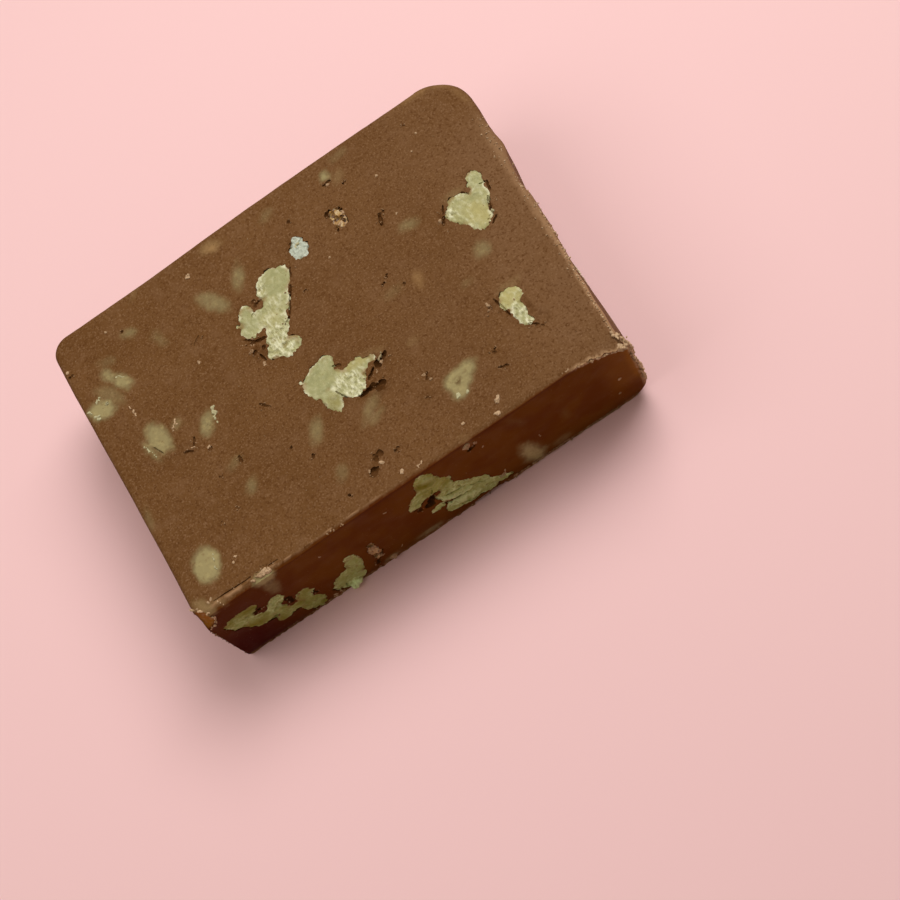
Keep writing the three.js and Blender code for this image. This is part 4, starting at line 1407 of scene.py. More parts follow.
    def shape(self) -> None:
        """Make the whole block before anything is cut into it."""
        self.mesh = self._grid()
        points = grid_of(self.mesh)
        spread = points - self.crowding * np.sin(2 * math.pi * points) / (2 * math.pi)
        wide = self.right_wall(spread[:, 1] * self.right_depth)
        deep = self.left_depth + (self.right_depth - self.left_depth) * spread[:, 0]
        points = spread * np.stack([wide, deep, np.full(len(wide), self.height)], axis=1)
        left, right = self.left_corner, self.right_corner
        self._round_corner(points, (left, self.left_depth - left), left, -1)
        self._round_corner(points, (self.back_length - right, self.right_depth - right), right, 1)
        self._round_edges(points)
        self._wander_walls(points)
        self._bend(points)
        set_grid(self.mesh, points)
        self._relieve(self.mesh, points)
        set_grid(self.mesh, points)
        self.skin = BVHTree.FromPolygons(
            [Vector(p) for p in points], [p.vertices[:] for p in self.mesh.polygons]
        )
        LOG.info("block shaped, %d faces", len(self.mesh.polygons))

    def carve(self, pockets: list[Mesh]) -> None:
        """Cut the pockets, the pits, the chip and the undercut into the block.

        Args:
            pockets: The solids that the pieces' pockets are cut with. They are used up.
        """
        chip = Matrix.Translation(self.chip_middle) @ Matrix.Diagonal((*self.chip_half, 1.0))
        foot = Matrix.Translation(self.foot_middle) @ Matrix.Diagonal((*self.foot_half, 1.0))
        cutters = [*pockets, self.stone(chip, 1.3, 0.20, 5, 4), self.stone(foot, 0.7, 0.12, 8)]
        for face, marks in PITS.items():
            cutters += [solid for seed, pit in enumerate(marks) for solid in self.hollows(face, pit, seed)]
        for piece in PIECES:
            for seed, pit in enumerate(piece.holes):
                cutters += self.hollows(piece.face, pit, HOLE_SEED + seed)
        self.mesh = subtract(self.mesh, cutters)
        LOG.info("block carved, %d faces", len(self.mesh.polygons))

    # -------------------------------------------------------------- painting

    def _depth(self, points: Array) -> Array:
        """Measure how far points lie under the block's first surface."""
        return np.array([self.skin.find_nearest(Vector(p))[3] for p in points])

    def _shows(self, points: Array, face: Face, depth: Array) -> Array:
        """Tell which points belong to a face.

        Args:
            face: The face.
            points: The points.
            depth: How far they lie under the block's first surface.

        Returns:
            True for each point that belongs to the face.
        """
        away = (points - np.array(self.origin(face))) @ np.array(face.outward)
        reach = 3.0 if face in (Face.RIGHT, Face.BACK) else 1.4  # those two walls run askew
        return (away > -reach) & (depth < self.film_deep)

    def paint_covered(self, mesh: Mesh) -> None:
        """Mark what shows through the fudge, on the block or on a piece under a film, and the painted shade
        round the bare nuts.

        Args:
            mesh: The mesh to paint.
        """
        points = grid_of(mesh)
        depth = self._depth(points)
        warp = 0.30 * noise_at(points, 1.3, 9) + 0.22 * noise_at(points, 0.5, 10)
        pecan, toffee, skin = np.zeros((3, len(points)))
        for face, patches in SMEARS.items():
            u, v = self.on_face(face, points)
            shows = self._shows(points, face, depth)
            for smear in patches:
                blur = ramp(0.55, -0.65, smear.lobe.reach(u, v) + warp)
                amount = smear.strength * blur * shows
                if smear.skin:
                    skin = np.maximum(skin, amount)
                    continue
                pecan = np.maximum(pecan, amount * (1.0 - smear.warmth))
                toffee = np.maximum(toffee, amount * smear.warmth)
        patchy = ramp(-0.25, 0.35, warp)
        for piece in PIECES:
            u, v = self.on_face(piece.face, points)
            if not piece.film:
                # Painted shade: the fudge darkens in patches in the gap round a bare nut.
                rim = ramp(0.55, 0.10, piece.reach(u, v)) * self._shows(points, piece.face, depth)
                skin = np.maximum(skin, self.stain_and_shade * rim * patchy)
                continue
            if piece.at_edge:
                v = v + np.clip(points[:, 1], 0.0, None)
            halo = ramp(0.40, -0.75, piece.reach(u, v) + warp) * (1.25 - 0.7 * piece.film)
            halo *= self._shows(points, piece.face, depth)
            if piece.nature is Nature.PECAN:
                pecan = np.maximum(pecan, halo)
            else:
                toffee = np.maximum(toffee, halo)
        paint(mesh, "pecan_below", pecan)
        paint(mesh, "toffee_below", toffee)
        paint(mesh, "skin_and_shade_below", skin)

    def paint(self) -> None:
        """Mark the cut face and its painted shade, the broken fudge with painted shade in its pits, the
        painted sheen on the top, the lips and what shows through.
        """
        points = grid_of(self.mesh)
        x, y, z = points.T
        depth = self._depth(points)
        self.paint_covered(self.mesh)
        self._paint_cut(points)
        self._paint_lips(points)
        # Painted sheen: the top is lighter towards its right end and away from its back, with some random
        # variation.
        bloom_and_sheen = 0.2 * ramp(15.0, 50.0, x) + 0.5 * ramp(56.0, 70.0, x) * ramp(50.0, 36.0, y)
        paint(self.mesh, "bloom_and_sheen", bloom_and_sheen + 0.15 * noise_at(points, 9.0, 13))
        near_chip = ramp(5.5, 4.5, np.sqrt(x**2 + y**2 + (z - self.height) ** 2))
        # Broken fudge in the pits and pockets: partly its own colour, partly painted shade.
        paint(self.mesh, "broken", ramp(0.08, 0.25, depth))
        paint(self.mesh, "chip", near_chip * ramp(0.05, 0.2, depth))

    def _paint_cut(self, points: Array) -> None:
        """Mark the cut face, the painted shade at its left end and under its upper edge, and its warm right
        end.

        Args:
            points: The vertices of the block's mesh.
        """
        x, y, z = points.T
        under = self.height - self.fall(x) - self.lip_thick
        edge = 0.30 - 0.10 * ramp(30.0, 50.0, x)
        edge = edge + 0.08 * noise_at(points, 1.2, 11) + 0.10 * noise_at(points, 0.4, 12)
        edge -= (0.25 + self.overhang(x)) * ramp(self.lip_from - 1.0, self.lip_full, x)
        cut = ramp(edge + 0.12, edge - 0.12, y)
        cut = np.maximum(cut, ramp(under + 0.15, under - 0.15, z) * ramp(0.6, 0.4, y))
        paint(self.mesh, "cut", cut)
        # Painted shade: darker towards the left corner, most near the bottom there, and under the top edge.
        dark = ramp(17.0, 3.0, x) * (0.45 + 0.55 * ramp(17.0, 5.0, z))
        paint(self.mesh, "cut_painted_shade", np.maximum(dark, 0.5 * ramp(self.height - 1.0, self.height - 0.35, z)))
        warm = 0.4 * ramp(self.lip_full, 71.0, x)
        warm += 0.5 * ramp(70.6, 71.8, x + 0.3 * noise_at(points, 1.5, 17))
        paint(self.mesh, "cut_warm", warm * ramp(3.0, 8.0, z))

    def _paint_lips(self, points: Array) -> None:
        """Mark the lip along the right side, the fine ridge, and the dried crust at the edges.

        Args:
            points: The vertices of the block's mesh.
        """
        x, y, z = points.T
        gap, _ = self._to_wall(points)
        under = self.height - self.fall(x) - self.lip_thick
        wide = 1.5 + 0.3 * ramp(14.0, 24.0, y) + 0.4 * noise_at(points, 1.0, 14)
        wide += 0.4 * noise_at(points, 0.4, 16)
        at_lip = ramp(wide, 0.5 * wide, gap) * ramp(46.0, 36.0, y) * (x > self.front_length / 2)
        at_lip *= ramp(self.height - 1.1, self.height - 0.5, z) * (1.0 - 0.55 * ramp(8.0, 30.0, y))
        burr = self._burr(points) * ramp(-0.5, 0.2, noise_at(points, 0.8, 15))
        paint(self.mesh, "lip", np.maximum(at_lip, 0.9 * burr))
        hem = ramp(0.5, 0.1, y + self.overhang(x)) * (z > under)
        hem *= ramp(self.lip_from - 0.5, self.lip_full, x)
        corner = ramp(self.front_length - 0.45, self.front_length, x) * (y < 0.5) * (z > 2)
        foot = 0.7 * ramp(0.6, 0.1, z) * (y < 0.6)
        paint(self.mesh, "crust", np.max([hem, corner, foot], axis=0))


# ------------------------------------------------------------------ the pieces in it


@dataclass(frozen=True)
class Survey:
    """What lies round each vertex of a piece."""

    points: Array  # the vertices
    proud: Array  # how far they stand out of the block's surface
    inside: Array  # how far they are inside the piece's outline
    torn: Array  # how torn the nut is there
    yellow: Array  # how yellow it is
    smear: Array  # how much fudge lies over it
    bumps: Array  # the height of its relief


@dataclass
class Pieces:
    """The pecan pieces and bits of toffee, each in a pocket of its own shape."""

    block: Block
    voxel: float = 0.14
    covered_voxel: float = 0.20
    crown: float = 0.35  # how high a lobe stands over its face, for its depth
    crinkle: float = 0.30
    gape: float = 0.24  # how far a pocket gapes at its widest
    overlap: float = 0.05  # how far the fudge covers a piece where it doesn't gape
    clear: float = 0.06  # how far a piece in a side stays clear of the base
    unseen: float = 0.9  # how deep in the fudge a piece is out of sight
    beyond: float = 30.0  # how far outside the block its surface is looked for from
    meshes: dict[str, Mesh] = field(default_factory=dict)

    def _lobed(self, piece: Piece) -> Mesh:
        """Join a piece's lobes into one closed, crinkled mesh.

        Args:
            piece: The piece.

        Returns:
            Its mesh, which still stands out of the face.
        """
        bm = bmesh.new()
        for lobe in piece.lobes:
            turn = Matrix.Rotation(math.radians(lobe.angle), 4, "Z")
            size = Matrix.Diagonal((lobe.half_length, lobe.half_width, piece.depth, 1.0))
            place = self.block.placing(piece.face) @ Matrix.Translation((lobe.u, lobe.v, 0)) @ turn @ size
            bmesh.ops.create_icosphere(bm, subdivisions=4, radius=1.0, matrix=place)
        origin, outward = self.block.origin(piece.face), piece.face.outward
        for vert in bm.verts:
            height = (vert.co - origin).dot(outward)
            if height > 0 and not piece.at_edge:
                vert.co -= outward * height * (1.0 - self.crown)
        mesh = joined(bm, piece.name, self.covered_voxel if piece.film else self.voxel)
        points = grid_of(mesh)
        if piece.film:
            rough = noise_at(points, 1.6, 21) * 0.22
        else:
            rough = noise_at(points, 1.3, 21) * self.crinkle
            rough += (0.12 - np.abs(noise_at(points, 0.7, 22))) * self.crinkle * 1.2
            grit = noise_at(points, 0.35, 23) * self.crinkle * 0.7
            rough += grit + noise_at(points, 0.55, 32) * self.crinkle * 0.6
        set_grid(mesh, points + normals_of(mesh) * rough[:, None])
        deep = (points - np.array(origin)) @ np.array(outward) < -self.unseen
        return mesh if piece.at_edge else thinned(mesh, deep, 0.2)

    def pocket(self, piece: Piece) -> Mesh:
        """Make the solid that cuts a piece's pocket: the piece, swollen here and there.

        Args:
            piece: The piece, whose mesh is made.

        Returns:
            The solid.
        """
        mesh = self.meshes[piece.name].copy()
        if piece.film:
            return mesh
        points = grid_of(mesh)
        open_to = np.clip(noise_at(points, 1.5, 27) * 2.4 - 0.35, 0.0, 1.0)
        room = open_to * self.gape - (1.0 - open_to) * self.overlap
        set_grid(mesh, points + normals_of(mesh) * room[:, None])
        height = (points - np.array(self.block.origin(piece.face))) @ np.array(piece.face.outward)
        return thinned(mesh, np.abs(height) > 0.5, 0.08)

    def _survey(self, piece: Piece, mesh: Mesh) -> Survey:
        """Look at what lies round each vertex of a piece.

        Args:
            piece: The piece.
            mesh: Its mesh.

        Returns:
            The survey.
        """
        points = grid_of(mesh)
        outward = piece.outward
        hits = [self.block.skin.ray_cast(Vector(p) + outward * self.beyond, -outward)[0] for p in points]
        surface = np.array([hit if hit is not None else p for hit, p in zip(hits, points)])
        u, v = self.block.on_face(piece.face, surface)
        flat = np.stack([u, v, np.full(len(u), 7.0 * piece.depth)], axis=1)  # each depth has its own noise
        torn, yellow, smear = (np.full(len(u), value) for value in (piece.torn, piece.yellow, piece.smear))
        drift = 0.5 * noise_at(flat, 1.1, 33)
        for tone in piece.tones:
            share = ramp(0.45, -0.45, tone.lobe.reach(u, v) + drift)
            torn += (tone.torn - torn) * share
            yellow += (tone.yellow - yellow) * share
            smear += tone.smear * share
        bold = 1.0 + 0.5 * (piece.face is Face.FRONT)
        dips = np.abs(noise_at(flat, 0.85, 25)) * (0.08 + 0.28 * torn) * bold
        bumps = noise_at(flat, 1.5, 24) * 0.11 * bold - dips
        bumps += noise_at(flat, 0.4, 26) * (0.04 + 0.14 * torn) + 0.05
        for knob in piece.knobs:
            bumps += knob.depth * ramp(0.4, -0.3, knob.lobe.reach(u, v))
        proud = (points - surface) @ np.array(outward)
        return Survey(points, proud, -piece.reach(u, v), torn, yellow, smear, bumps)

    def _press(self, piece: Piece, mesh: Mesh) -> None:
        """Flatten a piece to the face of the block.

        Args:
            piece: The piece.
            mesh: Its mesh, which is changed.
        """
        seen = self._survey(piece, mesh)
        rim = 0.14 * np.exp(-np.clip(seen.inside + 0.1, 0.0, None) / 0.25)
        height = (seen.bumps - rim) * (0.0 if piece.film else 1.0)
        down = np.clip(seen.proud - height, 0.0, None)
        pressed = seen.points - np.array(piece.outward) * down[:, None]
        pressed[:, 2] = np.maximum(pressed[:, 2], 0.0 if piece.face is Face.BASE else self.clear)
        set_grid(mesh, pressed)

    def _holed(self, piece: Piece, mesh: Mesh) -> Mesh:
        """Cut a piece's own holes, and the pits that reach into it.

        Args:
            piece: The piece.
            mesh: Its mesh, which is used up.

        Returns:
            The mesh that is left.
        """
        cutters = []
        for seed, pit in enumerate(piece.holes):
            cutters += self.block.hollows(piece.face, pit, HOLE_SEED + seed)
        for seed, pit in enumerate(PITS[piece.face]):
            if piece.reach(np.array(pit.lobe.u), np.array(pit.lobe.v)) < pit.lobe.half_length:
                cutters += self.block.hollows(piece.face, pit, seed)
        return subtract(mesh, cutters) if cutters else mesh

    def _dress(self, piece: Piece, mesh: Mesh) -> None:
        """Paint a piece's broken parts, the painted shade in its cavities and depths, the painted highlight
        on its bumps and the painted tint of the light in the cut face's shade, or its film of fudge.

        Args:
            piece: The piece.
            mesh: Its mesh.
        """
        if piece.film:
            self.block.paint_covered(mesh)
            return
        seen = self._survey(piece, mesh)
        patchy = noise_at(seen.points, 1.2, 28)
        fringe = ramp(0.6, 0.1, seen.inside) * ramp(-0.05, 0.25, patchy)
        paint(mesh, "yellow", seen.yellow + 0.25 * patchy)
        paint(mesh, "torn", seen.torn + 0.35 * noise_at(seen.points, 0.9, 34))
        # White at the torn fringes; on the high bumps it is a painted highlight.
        paint(mesh, "white_and_highlight", np.maximum(0.7 * fringe, 0.5 * ramp(0.08, 0.2, seen.bumps)))
        paint(mesh, "cool", np.full(len(patchy), piece.cool))
        # Painted light: every piece in the cut face gets the tint of the light in its shade.
        paint(mesh, "shade_light_tint", np.full(len(patchy), float(piece.face is Face.FRONT)))
        paint(mesh, "smear", seen.smear * (1.0 + 0.8 * noise_at(seen.points, 2.5, 31)))
        cover = ramp(0.8, 0.0, seen.inside) * ramp(0.08, 0.35, noise_at(seen.points, 1.6, 30))
        paint(mesh, "veil", 0.8 * cover)
        # Brown skin at the rim; painted shade in the low bumps and in creases, which are stronger in the cut
        # face's dim light.
        skin = ramp(0.4, 0.0, seen.inside) * ramp(0.2, 0.45, -patchy)
        crease = ramp(0.05, 0.0, np.abs(noise_at(seen.points, 1.5, 35))) * ramp(0.0, 0.3, patchy + 0.2)
        crease *= 0.25 + 0.45 * (piece.face is Face.FRONT)
        paint(mesh, "cavity_shade_and_skin", 0.7 * ramp(-0.12, -0.28, seen.bumps) + 0.6 * skin + crease)
        # Painted shade where the piece lies deep in its pocket's gap.
        paint(mesh, "deep", ramp(-0.34, -0.6, seen.proud))

    def shape(self) -> None:
        """Make every piece's lobes, before they are pressed to the faces."""
        for piece in PIECES:
            self.meshes[piece.name] = self._lobed(piece)

    def finish(self) -> list[tuple[Piece, Mesh]]:
        """Press every piece to its face, cut its holes and paint it.

        Returns:
            The pieces with their meshes.
        """
        made = []
        for piece in PIECES:
            mesh = self.meshes[piece.name]
            self._press(piece, mesh)
            mesh = self._holed(piece, mesh)
            self._dress(piece, mesh)
            made.append((piece, mesh))
            LOG.info("%s, %d faces", piece.name, len(mesh.polygons))
        return made


# ------------------------------------------------------------------ crumbs


@dataclass(frozen=True)
class Flake:
    """A single crumb or flake at a known place on a face."""

    face: Face
    u: float
    v: float
    length: float
    width: float
    angle: float = 0.0
    pale: float = 0.9


def flakes(face: Face, *rows: Row) -> tuple[Flake, ...]:
    """Make flakes from rows of u, v, length, width, angle and how pale they are."""
    return tuple(Flake(face, *row) for row in rows)


FLAKES = (
    *flakes(
        Face.TOP, (52.6, 2.6, 0.55, 0.45, 30, 1.0), (51.6, 0.9, 0.6, 0.36, -30, 1.0),
        (24.0, 48.5, 0.5, 0.35, 20, 0.9), (36.0, 1.7, 0.45, 0.3, 60, 1.0), (38.6, 1.1, 0.5, 0.22, 20, 0.9),
        (46.8, 2.6, 0.35, 0.22, 0, 0.8), (34.1, 4.7, 0.35, 0.3, 0, 0.8), (32.0, 4.6, 0.4, 0.2, 60, 0.5),
        (8.9, 48.6, 0.25, 0.2, 0, 0.8), (0.8, 46.4, 0.3, 0.25, 0, 0.8), (2.8, 39.4, 0.6, 0.3, 20, 1.0),
        (3.8, 38.1, 0.4, 0.3, 0, 0.9), (1.35, 37.6, 1.4, 0.45, -72, 1.0), (7.6, 40.6, 0.9, 0.22, -36, 0.9),
        (6.7, 34.4, 1.35, 0.26, -84, 0.9), (19.0, 35.0, 0.3, 0.22, 0, 0.8),
        (55.4, 37.0, 0.35, 0.2, 40, 0.7), (56.0, 44.3, 0.28, 0.2, 0, 0.7), (62.5, 44.4, 0.25, 0.18, 0, 0.7),
        (64.4, 46.6, 0.25, 0.2, 0, 0.7), (13.9, 22.3, 0.45, 0.22, 20, 0.8),
        (11.7, 23.7, 0.4, 0.2, -30, 0.7), (49.3, 47.9, 0.35, 0.22, 20, 0.6),
        (67.3, 28.3, 0.35, 0.28, 70, 0.9), (43.7, 37.3, 0.28, 0.2, 0, 0.6),
        (26.6, 32.7, 1.5, 0.2, -33, 0.4), (26.4, 31.3, 0.5, 0.3, 20, 0.3), (27.2, 28.5, 0.5, 0.25, 60, 0.5),
        (41.9, 17.9, 0.5, 0.25, -40, 0.5), (42.2, 18.9, 0.8, 0.25, 45, 0.5),
        (40.4, 17.1, 0.5, 0.25, 40, 0.4), (59.9, 31.6, 0.5, 0.3, 60, 0.5), (59.0, 15.9, 0.5, 0.3, 80, 0.5),
        (58.6, 15.1, 0.3, 0.2, 0, 0.4), (46.5, 11.2, 0.3, 0.22, 0, 0.5), (45.8, 12.4, 0.35, 0.2, 0, 0.4),
        (48.4, 6.6, 0.6, 0.4, 30, 1.0), (49.8, 6.3, 0.3, 0.25, 40, 1.0), (48.9, 42.4, 0.45, 0.25, 100, 0.6),
        (47.5, 40.9, 0.4, 0.25, 60, 0.6), (10.6, 28.2, 0.5, 0.25, 60, 1.0), (11.3, 28.9, 0.6, 0.3, 80, 1.0),
        (6.0, 27.0, 1.9, 0.22, -68, 1.0), (17.0, 26.2, 1.6, 0.4, 70, 0.9), (6.4, 6.4, 1.5, 0.25, 70, 0.9),
        (3.3, 1.9, 0.25, 0.2, 0, 0.7), (2.7, 1.7, 0.2, 0.2, 0, 0.8), (9.4, 5.3, 0.22, 0.2, 0, 0.8),
        (8.7, 4.7, 0.2, 0.18, 0, 0.7), (4.2, 0.7, 0.6, 0.18, -55, 0.8), (10.3, 0.75, 0.8, 0.3, 8, 0.6),
        (11.2, 0.75, 0.7, 0.35, 0, 0.8), (12.0, 0.75, 0.6, 0.4, 0, 1.0), (12.6, 0.6, 0.45, 0.35, 0, 1.1),
        (23.6, 0.25, 1.5, 0.2, 0, 0.4), (40.6, 42.4, 0.6, 0.3, 60, 0.9), (62.9, 10.0, 0.5, 0.2, -40, 0.9),
    ),
    *flakes(
        Face.FRONT, (19.0, 16.2, 0.3, 0.18, 90, 0.6), (30.3, 16.1, 0.3, 0.2, 0, 0.5),
        (47.2, 16.2, 0.35, 0.2, 60, 0.5), (54.6, 8.2, 0.4, 0.2, 90, 0.6), (68.8, 8.9, 0.4, 0.3, 20, 0.7),
        (68.0, 4.5, 0.3, 0.2, 0, 0.6), (28.5, 2.7, 0.35, 0.18, 60, 0.5), (26.5, 1.2, 0.7, 0.5, 20, 0.5),
        (16.0, 0.9, 0.7, 0.35, 70, 0.7), (17.0, 0.8, 0.7, 0.3, 110, 0.6), (47.4, 4.2, 0.8, 0.3, 60, 0.5),
        (46.8, 3.5, 0.5, 0.3, 0, 0.5), (25.2, 8.0, 0.7, 0.35, 80, 0.5), (25.4, 4.2, 0.6, 0.3, 100, 0.5),
        (45.3, 19.2, 0.9, 0.6, 80, 0.5), (46.6, 18.6, 0.6, 0.35, 80, 0.4),
    ),
)


@dataclass(frozen=True)
class Crust:
    """A strip of crumbs that have dried together along an edge."""

    path: tuple[Place, ...]  # in millimetres from the block's front left bottom corner
    gap: float  # between one crumb and the next
    size: float
    spread: float
    pale: float


CRUSTS = (
    Crust(
        ((62.3, 0.5, 20.5), (64.0, 0.2, 20.5), (66.0, -0.15, 20.4), (68.0, -0.45, 20.2), (70.0, -0.9, 19.85),
         (71.4, -1.25, 19.6), (72.1, -1.1, 19.7)), 0.10, 0.17, 0.18, 0.55,
    ),
    Crust(
        ((70.6, -0.8, 20.0), (72.0, -0.9, 19.9), (71.8, -0.1, 20.35), (71.2, 0.9, 20.75)),
        0.06, 0.21, 0.32, 0.75,
    ),
    Crust(((71.3, 1.6, 20.6), (71.4, 6.0, 20.6), (72.0, 14.0, 20.55)), 0.30, 0.17, 0.24, 0.8),
    Crust(
        ((72.0, 14.0, 20.55), (72.7, 21.0, 20.5), (72.7, 27.0, 20.5), (72.5, 32.0, 20.5), (73.0, 40.0, 20.5)),
        0.15, 0.17, 0.30, 0.6,
    ),
    Crust(
        ((72.2, -0.35, 19.0), (72.4, -0.35, 17.0), (72.1, -0.3, 13.5), (72.4, -0.35, 10.0),
         (72.2, -0.3, 4.5)), 0.10, 0.20, 0.22, 1.1,
    ),
    Crust(((48.0, 0.0, 0.9), (56.0, 0.0, 0.7), (67.0, 0.0, 0.35)), 0.22, 0.15, 0.18, 0.2),
    Crust(((5.0, 0.1, 0.5), (16.0, 0.1, 0.5)), 0.5, 0.13, 0.15, 0.1),
    Crust(
        ((0.05, 2.4, 20.5), (0.7, 1.8, 20.65), (1.4, 1.1, 20.65), (1.9, 0.4, 20.4), (2.2, 0.0, 19.6),
         (2.0, 0.0, 18.2), (1.4, 0.0, 17.0), (0.7, 0.1, 16.3), (0.1, 0.2, 16.1)), 0.20, 0.18, 0.26, 0.7,
    ),
    Crust(((-0.1, 0.0, 15.5), (-0.05, 0.0, 0.6)), 0.5, 0.12, 0.10, 0.15),
)


@dataclass
class Crumbs:
    """Crumbs on the lips, at the foot of the cut face, round the pits and here and there."""

    block: Block
    seed: int = 29
    along_lip: int = 150
    along_foot: int = 70
    on_top: int = 80
    round_pit: int = 4
    widths: tuple[tuple[float, float], ...] = ((0.8, 1.5), (0.6, 1.0), (0.5, 0.9))  # least and most, by size
    jag: float = 0.34
    above: float = 8.0  # how far over the block a crumb falls from
    sunk: float = 0.2  # the share of its height that sinks in
    crust_voxel: float = 0.07
    clump_voxel: float = 0.06
    flatness: float = 0.5
    clear: float = 0.02  # how far the crumbs stay above the base

    def _add(self, bm: bmesh.types.BMesh, spot: Vector, size: float, draw: random.Random) -> int:
        """Add one crumb, a lopsided little stone.

        Args:
            bm: The mesh that gets it.
            spot: Its middle.
            size: Its half width.
            draw: The dice.

        Returns:
            How many vertices it has.
        """
        turn = Quaternion([draw.uniform(-1, 1) for _ in range(4)]).normalized().to_matrix()
        halves = [draw.uniform(low, high) * size for low, high in self.widths]
        place = Matrix.Translation(spot) @ turn.to_4x4() @ Matrix.Diagonal((*halves, 1.0))
        fine = 2 if size > 0.12 else 1
        made = bmesh.ops.create_icosphere(bm, subdivisions=fine, radius=1.0, matrix=place)["verts"]
        jag = self.jag * (0.7 if fine == 2 else 1.0)
        for vert in made:
            vert.co += (vert.co - spot) * draw.uniform(-jag, jag)
        return len(made)

    def _landed(self, spot: Vector, along: Vector, height: float) -> Vector:
        """Let a crumb of half height fall along a line onto the block, and give its middle there."""
        hit = self.block.skin.ray_cast(spot - along * self.above, along)[0]
        return spot if hit is None else hit - along * height * self.sunk

    def loose(self) -> Mesh:
        """Make the loose crumbs as one mesh.

        Returns:
            The mesh.
        """
        draw = random.Random(self.seed)
        block = self.block
        bm = bmesh.new()
        pale: list[float] = []

        def drop(face: Face, u: float, v: float, size: float, paleness: float) -> None:
            """Let one loose crumb fall on a face.

            Args:
                face: The face.
                u: The crumb's place along it.
                v: The crumb's place across it.
                size: The crumb's half width.
                paleness: How pale it is.
            """
            spot = block.placing(face) @ Vector((u, v, 0.0))
            count = self._add(bm, self._landed(spot, -face.outward, size), size, draw)
            pale.extend([paleness] * count)

        for _ in range(self.along_lip):
            y = draw.uniform(12.0, 43.0)
            x = float(block.right_wall(np.array(y))) - draw.triangular(-0.1, 1.8, 0.3)
            drop(Face.TOP, x, y, draw.uniform(0.05, 0.17), draw.uniform(0.3, 0.9))
        for _ in range(self.along_foot):
            u, v = draw.uniform(5, 71.8), draw.uniform(0.3, 0.9)
            drop(Face.FRONT, u, v, draw.uniform(0.08, 0.2), draw.uniform(0, 0.4))
        for _ in range(self.on_top):
            u, v = draw.uniform(2, 71), draw.uniform(1, 51)
            drop(Face.TOP, u, v, draw.uniform(0.04, 0.10), draw.uniform(0.1, 0.8))
        for face, marks in PITS.items():
            for pit in marks if face is not Face.BASE else ():
                for _ in range(self.round_pit):
                    turn = draw.uniform(0, 2 * math.pi)
                    reach = draw.uniform(0.9, 1.3)
                    u = pit.lobe.u + reach * pit.lobe.half_length * math.cos(turn)
                    v = pit.lobe.v + reach * (pit.lobe.half_width + 0.15) * math.sin(turn)
                    drop(face, u, v, draw.uniform(0.06, 0.16), draw.uniform(0.0, 0.3))
        mesh = mesh_from(bm, "crumbs")
        paint(mesh, "pale", np.array(pale))
        return mesh

    @staticmethod
    def _on_nut(flake: Flake) -> bool:
        """Tell whether a flake lies on a nut, or just beside it.

        Args:
            flake: The flake.

        Returns:
            True where it is a flake of nut.
        """
        u, v = np.array(flake.u), np.array(flake.v)
        nuts = [piece for piece in PIECES if piece.nature is Nature.PECAN and piece.face is flake.face]
        return any(nut.reach(u, v) < 0.3 for nut in nuts)

    def clumps(self) -> Mesh:
        """Make the clumps at their known places, as one mesh.

        Returns:
            The mesh.
        """
        draw = random.Random(self.seed + 2)
        block = self.block
        bm = bmesh.new()
        places, looks = [], []
        for flake in FLAKES:
            tilt = math.radians(flake.angle)
            on_nut = self._on_nut(flake)
            slim = float(np.clip(flake.length / flake.width - 0.9, 0.1, 1.0))  # low for a round crumb
            for _ in range(3 + int(5 * flake.length)):
                along = draw.uniform(-0.9, 0.9) * flake.length * slim
                across = draw.uniform(-0.7, 0.7) * flake.width * slim
                u = flake.u + along * math.cos(tilt) - across * math.sin(tilt)
                v = flake.v + along * math.sin(tilt) + across * math.cos(tilt)
                size = draw.uniform(0.45, 0.85) * flake.width * (1.9 - 0.9 * slim) + 0.02
                spot = self._landed(block.placing(flake.face) @ Vector((u, v, 0.0)), -flake.face.outward, 0.0)
                spot -= flake.face.outward * 0.35 * size
                self._add(bm, spot, size, draw)
                places.append(spot)
                looks.append((0.0, 0.9 * flake.pale) if on_nut else (flake.pale, 0.0))
        return self._dried(joined(bm, "clumps", self.clump_voxel), places, looks)

    def _dried(self, mesh: Mesh, places: list[Vector], looks: list[tuple[float, float]]) -> Mesh:
        """Keep joined crumbs above the base, and give each vertex the look of the nearest crumb.

        Args:
            mesh: The crumbs' mesh.
            places: The crumbs' middles.
            looks: How pale and how much like nut each crumb is.

        Returns:
            The same mesh.
        """
        tree = KDTree(len(places))
        for index, place in enumerate(places):
            tree.insert(place, index)
        tree.balance()
        points = grid_of(mesh)
        points[:, 2] = np.maximum(points[:, 2], self.clear)
        set_grid(mesh, points)
        chosen = np.array([looks[tree.find(point)[1]] for point in points])
        paint(mesh, "pale", chosen[:, 0] + 0.25 * noise_at(points, 0.5, 41))
        paint(mesh, "nut", chosen[:, 1])
        return mesh

    def crusts(self) -> Mesh:
        """Make the strips of crumbs that have dried together, as one mesh.

        Returns:
            The mesh.
        """
        draw = random.Random(self.seed + 1)
        bm = bmesh.new()
        places, looks = [], []
        for crust in CRUSTS:
            for start, end in zip(crust.path, crust.path[1:]):
                run = Vector(end) - Vector(start)
                for step in range(max(1, round(run.length / crust.gap))):
                    away = Vector([draw.gauss(0.0, 0.5) * crust.spread for _ in range(3)])
                    away.z *= self.flatness
                    spot = Vector(start) + run * (step * crust.gap / run.length) + away
                    self._add(bm, spot, crust.size * draw.uniform(0.6, 1.4), draw)
                    places.append(spot)
                    looks.append((crust.pale * draw.uniform(0.3, 1.7), 0.0))
        return self._dried(joined(bm, "crusts", self.crust_voxel), places, looks)


# ------------------------------------------------------------------ placing and staging


